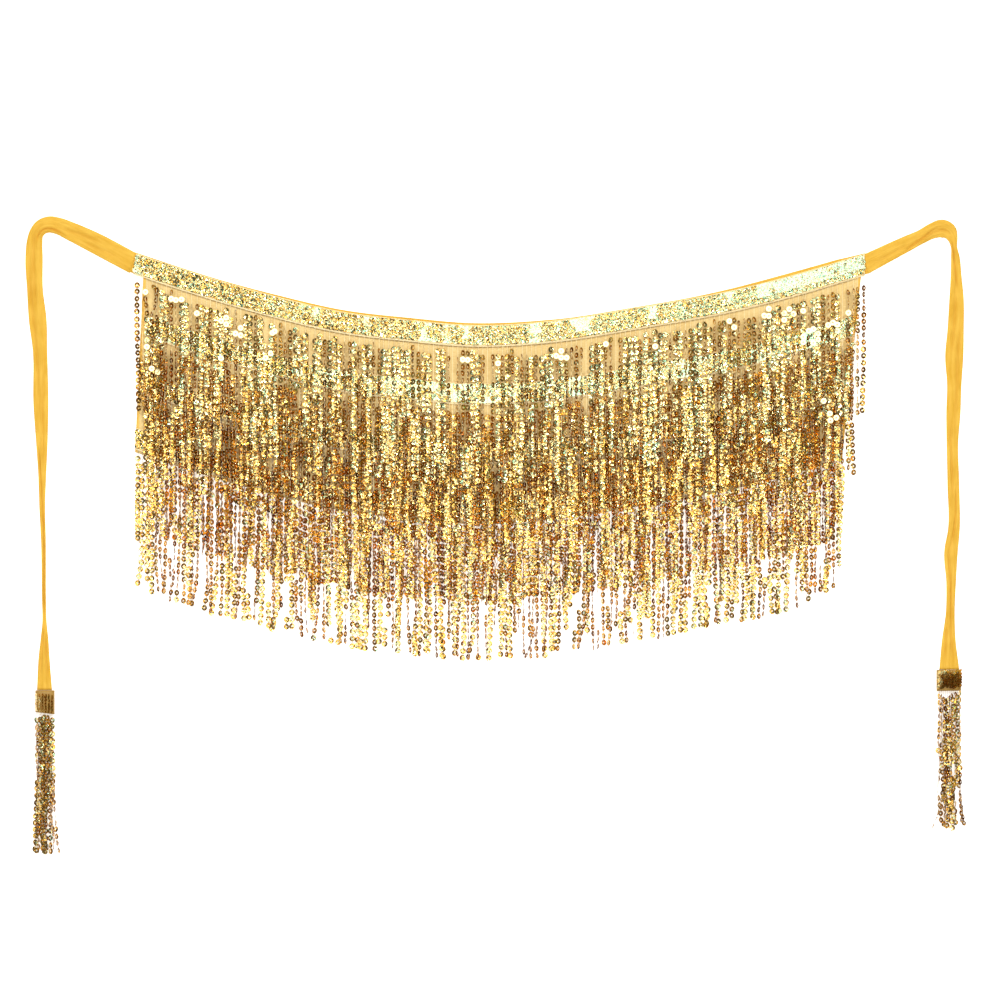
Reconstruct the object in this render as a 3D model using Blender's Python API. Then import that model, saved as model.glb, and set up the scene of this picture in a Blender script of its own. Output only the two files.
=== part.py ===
"""Fringed sequin hip belt, laid flat on its back.

A yellow cloth tie runs from one tassel, along the waist and down to the other
tassel. Under the waist a cloth panel carries four tiers of sequin fringe, each
a narrow trim band with loops of strung sequins hanging from its lower edge.
X runs along the waist, Y points from the fringe to the waist, Z is up.
"""

from collections import namedtuple

import bmesh
import bpy
import numpy as np

# Sizes, in metres
SEAM = 0.0003             # air between two pieces that are sewn together
CLOTH_STRIP_THICK = 0.0015
CLOTH_SHOWS = 0.0022      # cloth strip seen above the waist band
STRIP_END_TAPER = 0.030   # length over which the strip narrows to a tie's width
STRIP_COLUMNS = 40
PANEL_THICK = 0.0010
PANEL_DROP = 0.195        # from the waist edge down to the panel's hem
PANEL_COLUMNS = 36
PANEL_ROWS = 3
BAND_HEIGHT = 0.024       # five overlapping rows of 6 mm sequins
TRIM_THICK = 0.0015       # a trim band, and a loop of strung sequins
TIER_STEP = 0.064         # from one tier's lower band edge to the next one's
LOOP_DROP = 0.150         # from a band's lower edge to its loops' ends
LOCKS_PER_TIER = 56
LOCK_GAP = 0.0041
FLOOR_GAP = 0.0004        # free ends lie just above the surface
TASSEL_THICK = 0.006
TASSEL_LOCKS = 9
TASSEL_LOCK_GAP = 0.0007
TASSEL_LOCK_THICK = 0.003
SECTIONS_PER_STATION = 2

# Heights of the layers that lie on each other
ON_STRIP = CLOTH_STRIP_THICK + SEAM
ON_PANEL = PANEL_THICK + SEAM
LAYER = TRIM_THICK + SEAM

# Lower edge of the waist's sequin band; its two ends lie under the ties' seams
WaistPoint = namedtuple("WaistPoint", "x y")
WAIST_EDGE = (
    WaistPoint(-0.4050, 0.2910),
    WaistPoint(-0.3520, 0.2730),
    WaistPoint(-0.2975, 0.2560),
    WaistPoint(-0.2425, 0.2405),
    WaistPoint(-0.1700, 0.2235),
    WaistPoint(-0.0970, 0.2145),
    WaistPoint(-0.0240, 0.2085),
    WaistPoint(0.0670, 0.2135),
    WaistPoint(0.1580, 0.2280),
    WaistPoint(0.2630, 0.2470),
    WaistPoint(0.3265, 0.2630),
    WaistPoint(0.4140, 0.2890),
)
SEAM_LEFT = -0.4010       # where the waist strip meets the left tie
SEAM_RIGHT = 0.4110

# One row for each station of a tie: its centre, its width, its thickness, and
# the soft crease on top, with its place across (-1 to 1) and its height
Station = namedtuple("Station", "x y width thick crease_at crease")
LEFT_TIE = (
    Station(-0.4175, 0.3115, 0.0230, 0.0020, 0.3, 0.0004),
    Station(-0.4450, 0.3255, 0.0225, 0.0020, 0.0, 0.0006),
    Station(-0.4650, 0.3350, 0.0205, 0.0022, -0.2, 0.0006),
    Station(-0.4805, 0.3415, 0.0185, 0.0025, 0.0, 0.0005),
    Station(-0.4900, 0.3430, 0.0180, 0.0030, 0.2, 0.0004),
    Station(-0.4985, 0.3400, 0.0170, 0.0030, 0.2, 0.0004),
    Station(-0.5040, 0.3330, 0.0160, 0.0028, 0.0, 0.0005),
    Station(-0.5060, 0.3230, 0.0175, 0.0024, -0.2, 0.0006),
    Station(-0.5065, 0.3080, 0.0190, 0.0020, -0.3, 0.0006),
    Station(-0.5055, 0.2710, 0.0175, 0.0020, 0.3, 0.0008),
    Station(-0.5025, 0.2380, 0.0195, 0.0020, 0.4, 0.0006),
    Station(-0.5000, 0.2050, 0.0160, 0.0022, 0.0, 0.0006),
    Station(-0.4990, 0.1455, 0.0165, 0.0022, -0.3, 0.0006),
    Station(-0.4980, 0.1060, 0.0130, 0.0024, -0.2, 0.0005),
    Station(-0.4975, 0.0700, 0.0090, 0.0028, 0.0, 0.0004),
    Station(-0.4975, 0.0350, 0.0065, 0.0032, 0.0, 0.0002),
    Station(-0.4960, -0.0100, 0.0052, 0.0034, 0.0, 0.0),
    Station(-0.4955, -0.0700, 0.0045, 0.0034, 0.0, 0.0),
    Station(-0.4950, -0.0930, 0.0045, 0.0034, 0.0, 0.0),
    Station(-0.4950, -0.1130, 0.0085, 0.0028, 0.0, 0.0004),
    Station(-0.4955, -0.1330, 0.0120, 0.0025, 0.2, 0.0005),
    Station(-0.4950, -0.1690, 0.0165, 0.0025, 0.1, 0.0005),
)
RIGHT_TIE = (
    Station(0.4295, 0.3095, 0.0215, 0.0020, 0.2, 0.0005),
    Station(0.4515, 0.3210, 0.0175, 0.0020, 0.0, 0.0006),
    Station(0.4700, 0.3300, 0.0155, 0.0022, -0.2, 0.0008),
    Station(0.4830, 0.3365, 0.0175, 0.0026, 0.0, 0.0006),
    Station(0.4920, 0.3385, 0.0200, 0.0030, 0.1, 0.0004),
    Station(0.4995, 0.3350, 0.0185, 0.0032, 0.0, 0.0003),
    Station(0.5035, 0.3275, 0.0115, 0.0034, 0.0, 0.0002),
    Station(0.5050, 0.3190, 0.0070, 0.0034, 0.0, 0.0),
    Station(0.5065, 0.3080, 0.0095, 0.0032, 0.0, 0.0003),
    Station(0.5075, 0.2865, 0.0120, 0.0026, 0.2, 0.0006),
    Station(0.5080, 0.2600, 0.0160, 0.0022, 0.3, 0.0008),
    Station(0.5070, 0.2270, 0.0180, 0.0020, 0.3, 0.0008),
    Station(0.5055, 0.1985, 0.0200, 0.0020, 0.0, 0.0006),
    Station(0.5055, 0.1675, 0.0160, 0.0022, -0.2, 0.0006),
    Station(0.5045, 0.1345, 0.0155, 0.0022, -0.2, 0.0006),
    Station(0.5035, 0.1060, 0.0130, 0.0024, 0.0, 0.0006),
    Station(0.5045, 0.0565, 0.0130, 0.0024, 0.3, 0.0005),
    Station(0.5050, 0.0070, 0.0130, 0.0024, 0.2, 0.0006),
    Station(0.5020, -0.0160, 0.0150, 0.0022, 0.0, 0.0006),
    Station(0.5020, -0.0525, 0.0105, 0.0026, 0.0, 0.0004),
    Station(0.5010, -0.0855, 0.0100, 0.0026, -0.2, 0.0004),
    Station(0.4995, -0.1140, 0.0150, 0.0024, -0.2, 0.0005),
    Station(0.5000, -0.1465, 0.0220, 0.0024, 0.1, 0.0006),
)

# Half of a tie's section from edge to edge: place across, share of its thickness
TIE_TOP = ((-1.0, 0.45), (-0.82, 0.85), (-0.42, 0.96), (0.0, 1.0),
           (0.42, 0.96), (0.82, 0.85), (1.0, 0.45))
TIE_UNDERSIDE = (0.88, -0.88)
CREASE_REACH = 0.4        # half width of a crease, as a share of half the tie

# The panel's side edges, at the waist and at the hem
PANEL_TOP_SIDES = (-0.3830, 0.4000)
PANEL_HEM_SIDES = (-0.3955, 0.3820)

# Each tier's ends along the waist, from the waist down
Tier = namedtuple("Tier", "start end")
TIERS = (
    Tier(-0.3955, 0.4070),
    Tier(-0.3845, 0.3950),
    Tier(-0.3830, 0.3840),
    Tier(-0.3945, 0.3810),
)
LOOP_UNEVEN = 0.003       # how far single loops end above or below the others
LOOP_SWAY = 0.0012        # how far their ends swing to either side

# Each tassel's head, with the height of its lower edge at either side
Tassel = namedtuple("Tassel", "left right top low_left low_right length spread")
LEFT_TASSEL = Tassel(-0.5050, -0.4840, -0.1693, -0.1930, -0.1955, 0.1545, 0.18)
RIGHT_TASSEL = Tassel(0.4860, 0.5130, -0.1468, -0.1700, -0.1695, 0.153, -0.02)

CLOTH_YELLOW = (0.93, 0.56, 0.05)
PANEL_GOLD = (0.78, 0.58, 0.22)
SEQUIN_GOLD = (0.86, 0.72, 0.42)


def clear_scene():
    """Takes away whatever the scene holds."""
    for thing in list(bpy.data.objects):
        bpy.data.objects.remove(thing, do_unlink=True)


def make_material(name, colour, roughness, metallic):
    """A Principled material with one colour."""
    material = bpy.data.materials.new(name)
    material.use_nodes = True
    shader = material.node_tree.nodes["Principled BSDF"]
    shader.inputs["Base Color"].default_value = (*colour, 1.0)
    shader.inputs["Roughness"].default_value = roughness
    shader.inputs["Metallic"].default_value = metallic
    return material


def add_object(name, mesh_data, material):
    """Links a finished bmesh as a named object with its faces pointing out."""
    bmesh.ops.recalc_face_normals(mesh_data, faces=mesh_data.faces[:])
    mesh = bpy.data.meshes.new(name)
    mesh_data.to_mesh(mesh)
    mesh_data.free()
    mesh.materials.append(material)
    thing = bpy.data.objects.new(name, mesh)
    bpy.context.collection.objects.link(thing)
    return thing


def smooth_curve(knots, values, at):
    """Reads a smooth cubic curve through the rows of values at other places."""
    knots = np.asarray(knots, dtype=float)
    values = np.asarray(values, dtype=float)
    at = np.atleast_1d(np.asarray(at, dtype=float))
    slopes = np.gradient(values, knots, axis=0)
    row = np.clip(np.searchsorted(knots, at) - 1, 0, len(knots) - 2)
    span = (knots[row + 1] - knots[row])
    t = (at - knots[row]) / span
    if values.ndim > 1:
        span = span[:, None]
        t = t[:, None]
    start, end = values[row], values[row + 1]
    leave, arrive = slopes[row] * span, slopes[row + 1] * span
    rest = 1.0 - t
    return (rest * rest * ((1.0 + 2.0 * t) * start + t * leave)
            + t * t * ((3.0 - 2.0 * t) * end - rest * arrive))


def waist_edge(x):
    """Height of the waist band's lower edge at x."""
    knots = [point.x for point in WAIST_EDGE]
    values = [point.y for point in WAIST_EDGE]
    return float(smooth_curve(knots, values, x)[0])


def waist_point(x, across):
    """A point of the waist strip, at a distance across the band's centre line."""
    step = 0.001
    slope = (waist_edge(x + step) - waist_edge(x - step)) / (2.0 * step)
    normal = np.array((-slope, 1.0)) / np.hypot(slope, 1.0)
    centre = np.array((x, waist_edge(x) + BAND_HEIGHT / 2.0))
    return centre + across * normal


def strip_edges(x):
    """Where the strip's lower and upper edges lie across its centre line at x."""
    from_end = min(x - SEAM_LEFT, SEAM_RIGHT - x)
    share = min(from_end / STRIP_END_TAPER, 1.0)
    return (-BAND_HEIGHT / 2.0 + 0.0008 * (1.0 - share),
            BAND_HEIGHT / 2.0 + CLOTH_SHOWS * share)


def loft(name, rings, material):
    """A closed solid through rings of equally many points, capped at its ends."""
    mesh_data = bmesh.new()
    rows = [[mesh_data.verts.new(point) for point in ring] for ring in rings]
    for here, ahead in zip(rows, rows[1:]):
        for i in range(len(here)):
            j = (i + 1) % len(here)
            mesh_data.faces.new((here[i], here[j], ahead[j], ahead[i]))
    mesh_data.faces.new(rows[0])
    mesh_data.faces.new(rows[-1])
    return add_object(name, mesh_data, material)


def make_waist_strip(material):
    """The cloth strip that carries the waist band, flat on the surface."""
    rings = []
    for x in np.linspace(SEAM_LEFT, SEAM_RIGHT, STRIP_COLUMNS + 1):
        low, high = [waist_point(x, edge) for edge in strip_edges(x)]
        rings.append(((*low, 0.0), (*high, 0.0),
                      (*high, CLOTH_STRIP_THICK), (*low, CLOTH_STRIP_THICK)))
    return loft("waist_strip", rings, material)


def tie_ring(centre, direction, width, thick, crease_at, crease):
    """One section of a tie: flat below, soft-edged and creased on top."""
    across = np.array((-direction[1], direction[0]))
    ring = []
    for place, share in TIE_TOP:
        lift = crease * np.exp(-((place - crease_at) / CREASE_REACH) ** 2)
        ring.append((*(centre + across * place * width / 2.0), share * thick + lift))
    for place in TIE_UNDERSIDE:
        ring.append((*(centre + across * place * width / 2.0), 0.0))
    return ring


def make_tie(name, stations, seam_x, material):
    """A tie lofted from the waist strip's end down to its tassel."""
    outward = np.sign(seam_x)
    start_direction = waist_point(seam_x + outward * 0.001, 0.0) - waist_point(seam_x, 0.0)
    start_direction = start_direction / np.linalg.norm(start_direction)
    start = waist_point(seam_x, 0.0) + start_direction * SEAM
    first = stations[0]._replace(x=start[0], y=start[1])
    table = np.array((first, *stations))
    chords = np.linalg.norm(np.diff(table[:, :2], axis=0), axis=1)
    knots = np.concatenate(((0.0,), np.cumsum(chords)))
    stops = np.linspace(0.0, len(knots) - 1.0, SECTIONS_PER_STATION * (len(knots) - 1) + 1)
    places = np.interp(stops, np.arange(len(knots)), knots)
    rows = smooth_curve(knots, table, places)
    directions = np.gradient(rows[:, :2], places, axis=0)
    directions[0] = start_direction
    directions[-1] = (0.0, -1.0)
    directions /= np.linalg.norm(directions, axis=1)[:, None]
    rings = [tie_ring(row[:2], direction, *row[2:])
             for row, direction in zip(rows, directions)]
    return loft(name, rings, material)


def make_skirt_panel(material):
    """The cloth panel under the fringe, from the strip's seam to its hem."""
    rings = []
    for u in np.linspace(0.0, 1.0, PANEL_COLUMNS + 1):
        top_x = PANEL_TOP_SIDES[0] + u * (PANEL_TOP_SIDES[1] - PANEL_TOP_SIDES[0])
        hem_x = PANEL_HEM_SIDES[0] + u * (PANEL_HEM_SIDES[1] - PANEL_HEM_SIDES[0])
        top = waist_point(top_x, strip_edges(top_x)[0] - SEAM)
        hem = np.array((hem_x, waist_edge(hem_x) - PANEL_DROP))
        line = [top + v * (hem - top) for v in np.linspace(0.0, 1.0, PANEL_ROWS + 1)]
        rings.append([(*point, 0.0) for point in line]
                     + [(*point, PANEL_THICK) for point in reversed(line)])
    return loft("skirt_panel", rings, material)


def add_lock(mesh_data, root, x_pair, lower, levels, sway):
    """Hangs one four-sided lock on a band's lower side, ring by ring."""
    above = root
    reach = levels[-1][0]
    for drop, under, thick in levels:
        shift = sway * drop / reach
        left = (x_pair[0] + shift, lower(x_pair[0]) - drop)
        right = (x_pair[1] + shift, lower(x_pair[1]) - drop)
        below = [mesh_data.verts.new(point) for point in
                 ((*left, under), (*right, under),
                  (*right, under + thick), (*left, under + thick))]
        for i in range(4):
            j = (i + 1) % 4
            mesh_data.faces.new((above[i], above[j], below[j], below[i]))
        above = below
    mesh_data.faces.new(above)


def make_fringe(name, lower, upper, ends, locks, gap, heights, lock_levels, lock_sway, material):
    """A trim band with separate locks fused to its lower side.

    lower and upper give the band's edges at x, heights its underside and top.
    lock_levels and lock_sway give each lock's rings and its swing by its number.
    """
    pitch = (ends[1] - ends[0]) / locks
    columns = [ends[0]]
    for number in range(locks):
        left = ends[0] + number * pitch + gap / 2.0
        columns += [left, left + pitch - gap]
    columns.append(ends[1])
    mesh_data = bmesh.new()
    rows = []
    for x in columns:
        corners = ((x, lower(x), heights[0]), (x, upper(x), heights[0]),
                   (x, upper(x), heights[1]), (x, lower(x), heights[1]))
        rows.append([mesh_data.verts.new(corner) for corner in corners])
    for number, (here, ahead) in enumerate(zip(rows, rows[1:])):
        for i in range(3):
            mesh_data.faces.new((here[i], here[i + 1], ahead[i + 1], ahead[i]))
        if number % 2 == 0:
            mesh_data.faces.new((here[3], here[0], ahead[0], ahead[3]))
        else:
            lock = number // 2
            root = (here[0], ahead[0], ahead[3], here[3])
            add_lock(mesh_data, root, (columns[number], columns[number + 1]),
                     lower, lock_levels(lock), lock_sway(lock))
    mesh_data.faces.new(rows[0])
    mesh_data.faces.new(rows[-1])
    return add_object(name, mesh_data, material)


def tier_run(number):
    """Where a tier's locks climb over the bands and tiers below: drop, height."""
    climb = TIER_STEP - BAND_HEIGHT - 0.001
    over_one = ON_PANEL + LAYER
    over_two = ON_PANEL + 2.0 * LAYER
    past_hem = FLOOR_GAP + LAYER
    if number == 3:
        return [(0.020, FLOOR_GAP), (LOOP_DROP, FLOOR_GAP)]
    run = [(climb, over_one), (TIER_STEP, over_one)]
    if number == 2:
        return run + [(TIER_STEP + climb, past_hem), (LOOP_DROP, past_hem)]
    run.append((TIER_STEP + climb, over_two))
    if number == 1:
        return run + [(LOOP_DROP, over_two)]
    return run + [(2.0 * TIER_STEP, over_two), (LOOP_DROP, over_two + 0.78 * LAYER)]


def make_tier(number, tier, material):
    """One tier of the fringe, on the waist strip or on the panel."""
    def lower(x):
        return waist_edge(x) - number * TIER_STEP

    def upper(x):
        return lower(x) + BAND_HEIGHT

    rng = np.random.default_rng(31 + number)
    uneven = rng.uniform(-LOOP_UNEVEN, LOOP_UNEVEN, LOCKS_PER_TIER)
    sway = rng.uniform(-LOOP_SWAY, LOOP_SWAY, LOCKS_PER_TIER)
    run = tier_run(number)

    def levels(lock):
        rings = [(drop, under, TRIM_THICK) for drop, under in run[:-1]]
        return rings + [(run[-1][0] + uneven[lock], run[-1][1], TRIM_THICK)]

    under = ON_STRIP if number == 0 else ON_PANEL
    return make_fringe(f"fringe_tier_{number + 1}", lower, upper, (tier.start, tier.end),
                       LOCKS_PER_TIER, LOCK_GAP, (under, under + TRIM_THICK),
                       levels, lambda lock: sway[lock], material)


def make_tassel(name, tassel, material):
    """A wrapped head at a tie's end, with its strings fanned out below."""
    width = tassel.right - tassel.left
    centre = (tassel.left + tassel.right) / 2.0

    def lower(x):
        share = (x - tassel.left) / width
        return tassel.low_left + share * (tassel.low_right - tassel.low_left)

    def upper(x):
        return tassel.top

    def levels(lock):
        uneven = LOOP_UNEVEN * np.sin(2.4 * lock)
        return [(0.008, FLOOR_GAP, TASSEL_LOCK_THICK),
                (tassel.length / 2.0, FLOOR_GAP, TASSEL_LOCK_THICK),
                (tassel.length + uneven, FLOOR_GAP, TASSEL_LOCK_THICK)]

    def sway(lock):
        place = tassel.left + (lock + 0.5) / TASSEL_LOCKS * width
        return (place - centre) * tassel.spread

    return make_fringe(name, lower, upper, (tassel.left, tassel.right), TASSEL_LOCKS,
                       TASSEL_LOCK_GAP, (0.0, TASSEL_THICK), levels, sway, material)


def main():
    clear_scene()
    cloth = make_material("yellow_cloth", CLOTH_YELLOW, 0.85, 0.0)
    backing = make_material("gold_backing_cloth", PANEL_GOLD, 0.9, 0.0)
    sequins = make_material("sequin_trim", SEQUIN_GOLD, 0.3, 0.7)
    make_waist_strip(cloth)
    make_tie("tie_left", LEFT_TIE, SEAM_LEFT, cloth.copy())
    make_tie("tie_right", RIGHT_TIE, SEAM_RIGHT, cloth.copy())
    make_skirt_panel(backing)
    for number, tier in enumerate(TIERS):
        make_tier(number, tier, sequins.copy())
    make_tassel("tassel_left", LEFT_TASSEL, sequins.copy())
    make_tassel("tassel_right", RIGHT_TASSEL, sequins.copy())


main()
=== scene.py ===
"""Dresses the solids of a fringed sequin hip belt that lies flat, and lights it from above.

Cloth is a closed shell on the form of its solid. Sequins and threads are joined meshes: one small
shape is repeated along every string and row by whole numpy arrays. Sizes are in metres. The sizes
that the source of the solids uses are given again here, because that file can't be read.
"""

import math

import bpy
import numpy as np
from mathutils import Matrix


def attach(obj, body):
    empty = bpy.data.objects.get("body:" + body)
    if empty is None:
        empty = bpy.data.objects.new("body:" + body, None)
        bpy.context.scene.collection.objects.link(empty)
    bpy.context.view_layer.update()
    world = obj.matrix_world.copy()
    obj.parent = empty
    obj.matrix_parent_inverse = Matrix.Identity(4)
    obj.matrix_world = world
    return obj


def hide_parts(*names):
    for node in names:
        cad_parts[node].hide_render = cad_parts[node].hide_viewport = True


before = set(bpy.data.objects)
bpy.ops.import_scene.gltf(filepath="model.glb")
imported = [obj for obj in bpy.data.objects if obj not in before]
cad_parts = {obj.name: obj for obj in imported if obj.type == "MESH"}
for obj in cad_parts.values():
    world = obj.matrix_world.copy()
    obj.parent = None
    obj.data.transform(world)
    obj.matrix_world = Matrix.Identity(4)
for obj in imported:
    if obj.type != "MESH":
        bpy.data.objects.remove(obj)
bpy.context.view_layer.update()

bl_info = {
    "name": "Sequin hip belt",
    "version": (1, 0, 0),
    "blender": (4, 5, 0),
    "location": "3D View > Sidebar > Hip belt",
    "description": "Dresses a sequin hip belt with cloth, threads and sequins, on a small stage",
    "category": "Add Mesh",
}

# The run of the waist band's lower edge, from the left tie to the right tie.
WAIST_EDGE = (
    # x, y
    (-0.4050, 0.2910), (-0.3520, 0.2730), (-0.2975, 0.2560), (-0.2425, 0.2405),
    (-0.1700, 0.2235), (-0.0970, 0.2145), (-0.0240, 0.2085), (0.0670, 0.2135),
    (0.1580, 0.2280), (0.2630, 0.2470), (0.3265, 0.2630), (0.4140, 0.2890),
)
SEAM_LEFT = -0.4010
SEAM_RIGHT = 0.4110
SEAM_LAP = 0.0002
TIE_OVERLAP = 0.0036
TIE_END_TURN = 0.006
BAND_HEIGHT = 0.024
CLOTH_STRIP_THICK = 0.0015
CLOTH_SHOWS = (
    # x, width of the cloth that shows over the band
    (-0.4100, 0.0004), (-0.3000, 0.0004), (-0.2400, 0.0014), (-0.1500, 0.0020),
    (-0.0500, 0.0022), (0.0300, 0.0018), (0.0900, 0.0009), (0.1500, 0.0005),
    (0.2000, 0.0006), (0.2600, 0.0018), (0.3300, 0.0027), (0.3850, 0.0020),
    (0.4200, 0.0010),
)
STRIP_END_TAPER = 0.030
STRIP_UNDER_TAPE = 0.0003
STRIP_END_RISE = 0.0008
ON_STRIP = 0.0018
ON_PANEL = 0.0013
PANEL_THICK = 0.0010
PANEL_DROP = 0.195
PANEL_TOP_SIDES = (-0.3830, 0.4000)
PANEL_HEM_SIDES = (-0.3955, 0.3820)
TRIM_THICK = 0.0015
TIER_STEP = 0.064
LOOP_DROP = 0.150

# The stretches of each tie, from the waist to the tassel.
LEFT_TIE = (
    # x, y, width, thickness
    (-0.4175, 0.3115, 0.0230, 0.0020), (-0.4450, 0.3255, 0.0225, 0.0020),
    (-0.4650, 0.3350, 0.0205, 0.0022), (-0.4805, 0.3415, 0.0185, 0.0025),
    (-0.4900, 0.3430, 0.0180, 0.0030), (-0.4985, 0.3400, 0.0170, 0.0030),
    (-0.5040, 0.3330, 0.0160, 0.0028), (-0.5060, 0.3230, 0.0175, 0.0024),
    (-0.5065, 0.3080, 0.0190, 0.0020), (-0.5055, 0.2710, 0.0175, 0.0020),
    (-0.5025, 0.2380, 0.0195, 0.0020), (-0.5000, 0.2050, 0.0160, 0.0022),
    (-0.4990, 0.1455, 0.0165, 0.0022), (-0.4980, 0.1060, 0.0130, 0.0024),
    (-0.4975, 0.0700, 0.0090, 0.0028), (-0.4975, 0.0350, 0.0065, 0.0032),
    (-0.4960, -0.0100, 0.0052, 0.0034), (-0.4955, -0.0700, 0.0045, 0.0034),
    (-0.4950, -0.0930, 0.0045, 0.0034), (-0.4950, -0.1130, 0.0085, 0.0028),
    (-0.4955, -0.1330, 0.0120, 0.0025), (-0.4950, -0.1690, 0.0165, 0.0025),
)
RIGHT_TIE = (
    # x, y, width, thickness
    (0.4295, 0.3095, 0.0215, 0.0020), (0.4515, 0.3210, 0.0175, 0.0020),
    (0.4700, 0.3300, 0.0155, 0.0022), (0.4830, 0.3365, 0.0175, 0.0026),
    (0.4920, 0.3385, 0.0200, 0.0030), (0.4995, 0.3350, 0.0185, 0.0032),
    (0.5035, 0.3275, 0.0115, 0.0034), (0.5050, 0.3190, 0.0070, 0.0034),
    (0.5065, 0.3080, 0.0095, 0.0032), (0.5075, 0.2865, 0.0120, 0.0026),
    (0.5080, 0.2600, 0.0160, 0.0022), (0.5070, 0.2270, 0.0180, 0.0020),
    (0.5055, 0.1985, 0.0200, 0.0020), (0.5055, 0.1675, 0.0160, 0.0022),
    (0.5045, 0.1345, 0.0155, 0.0022), (0.5035, 0.1060, 0.0130, 0.0024),
    (0.5045, 0.0565, 0.0130, 0.0024), (0.5050, 0.0070, 0.0130, 0.0024),
    (0.5020, -0.0160, 0.0150, 0.0022), (0.5020, -0.0525, 0.0105, 0.0026),
    (0.5010, -0.0855, 0.0100, 0.0026), (0.4995, -0.1140, 0.0150, 0.0024),
    (0.5000, -0.1465, 0.0220, 0.0024),
)

CREASE_DEPTH = 1.7
# Painted shade in the ties' creases: a trough this deep darkens the cloth fully to the tint.
CREASE_SHADE_DEPTH = 0.0014
CREASE_SHADE_TINT = (0.80, 0.66, 0.45)

# Troughs (minus) and ridges (plus) in the upper side of each tie. A place is -1 at the edge that
# lies outside the bend and 1 at the edge inside it, and a share is of the tie's length.
LEFT_TIE_CREASES = (
    # from share, to share, from place, to place, height, half width in places
    (0.020, 0.110, 0.10, 0.55, -0.0005, 0.16),
    (0.060, 0.150, -0.35, 0.15, -0.0006, 0.20),
    (0.125, 0.215, 0.70, 0.25, -0.0016, 0.10),
    (0.130, 0.200, 0.95, 0.55, 0.0009, 0.14),
    (0.165, 0.330, -0.10, 0.00, -0.0007, 0.16),
    (0.200, 0.520, -0.50, -0.35, -0.0006, 0.22),
    (0.240, 0.460, 0.42, 0.30, 0.0005, 0.16),
    (0.420, 0.620, 0.35, 0.10, -0.0006, 0.16),
    (0.560, 0.700, -0.75, 0.20, -0.0012, 0.12),
    (0.640, 0.900, 0.35, 0.10, -0.0011, 0.22),
    (0.860, 0.990, -0.30, -0.55, -0.0008, 0.16),
    (0.890, 0.985, 0.30, 0.50, -0.0008, 0.14),
)
RIGHT_TIE_CREASES = (
    # from share, to share, from place, to place, height, half width in places
    (0.010, 0.100, 0.35, 0.10, -0.0005, 0.18),
    (0.070, 0.165, 0.85, -0.35, -0.0015, 0.11),
    (0.085, 0.150, 1.00, 0.30, 0.0010, 0.20),
    (0.105, 0.190, 0.60, -0.10, -0.0010, 0.12),
    (0.150, 0.215, -0.50, -0.90, 0.0008, 0.22),
    (0.185, 0.290, 0.60, -0.15, -0.0014, 0.14),
    (0.260, 0.420, 0.15, 0.30, -0.0006, 0.18),
    (0.330, 0.560, -0.45, -0.20, -0.0006, 0.20),
    (0.520, 0.700, 0.40, 0.05, -0.0007, 0.16),
    (0.640, 0.790, -0.60, 0.30, -0.0009, 0.14),
    (0.760, 0.900, 0.50, -0.20, -0.0010, 0.16),
    (0.860, 0.990, -0.10, -0.45, -0.0009, 0.16),
    (0.900, 0.990, 0.35, 0.55, -0.0007, 0.14),
)

# Puckers that stand up in the panel between the bands.
PANEL_PUCKERS = (
    # x and drop of one end, x and drop of the other end, height, half width
    (-0.268, 0.008, -0.246, 0.050, 0.0016, 0.0022),
    (-0.255, 0.004, -0.238, 0.036, 0.0012, 0.0020),
    (-0.279, 0.014, -0.262, 0.058, 0.0010, 0.0025),
    (-0.372, 0.006, -0.364, 0.050, 0.0014, 0.0022),
    (-0.383, 0.012, -0.375, 0.060, 0.0012, 0.0024),
    (-0.350, 0.004, -0.338, 0.030, 0.0009, 0.0022),
    (-0.190, 0.004, -0.180, 0.034, 0.0008, 0.0022),
    (-0.095, 0.005, -0.090, 0.040, 0.0009, 0.0024),
    (0.020, 0.004, 0.012, 0.036, 0.0009, 0.0022),
    (0.112, 0.006, 0.101, 0.042, 0.0012, 0.0024),
    (0.196, 0.004, 0.190, 0.030, 0.0009, 0.0020),
    (0.268, 0.006, 0.252, 0.044, 0.0013, 0.0024),
    (0.352, 0.005, 0.338, 0.040, 0.0012, 0.0022),
    (0.380, 0.010, 0.369, 0.052, 0.0012, 0.0024),
)

TIERS = (
    # start, end, (drop, height of the string's underside) from the root to the end of the loops
    (-0.3955, 0.4070, ((0.0, 0.0018), (0.039, 0.0031), (0.064, 0.0031), (0.103, 0.0049),
                       (0.128, 0.0049), (0.150, 0.0063))),
    (-0.3845, 0.3950, ((0.0, 0.0013), (0.039, 0.0031), (0.064, 0.0031), (0.103, 0.0049),
                       (0.150, 0.0049))),
    (-0.3830, 0.3840, ((0.0, 0.0013), (0.039, 0.0031), (0.064, 0.0031), (0.103, 0.0022),
                       (0.150, 0.0022))),
    (-0.3945, 0.3810, ((0.0, 0.0013), (0.020, 0.0004), (0.150, 0.0004))),
)

FIRST_TAPE_SLANT = 0.0033

# Shares of the strings that cross a neighbour, that face up, and that face at least half up.
CROSSING_SHARE = 0.05
FACING_SHARE = 0.48
HALF_FACING_SHARE = 0.76

TASSELS = (
    # side, left, right, top, left and right lower corners, length of the strings, their spread,
    # columns of sequins on the head, slant of their steps, seed
    ("left", -0.5050, -0.4840, -0.1693, -0.1930, -0.1955, 0.1545, 0.18, 6, 0.0, 5200),
    ("right", 0.4860, 0.5130, -0.1468, -0.1700, -0.1695, 0.1530, -0.02, 8, 0.75, 5300),
)
TASSEL_THICK = 0.006
TASSEL_RUN = ((0.0, 0.0022), (0.020, 0.0004), (0.150, 0.0004))
HEAD_ROWS = 6
HEAD_STEP = 0.0032
HEAD_SEQUIN = 0.0050
HEAD_HOLE = 0.0011
HEAD_CUP = math.radians(6)

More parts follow.
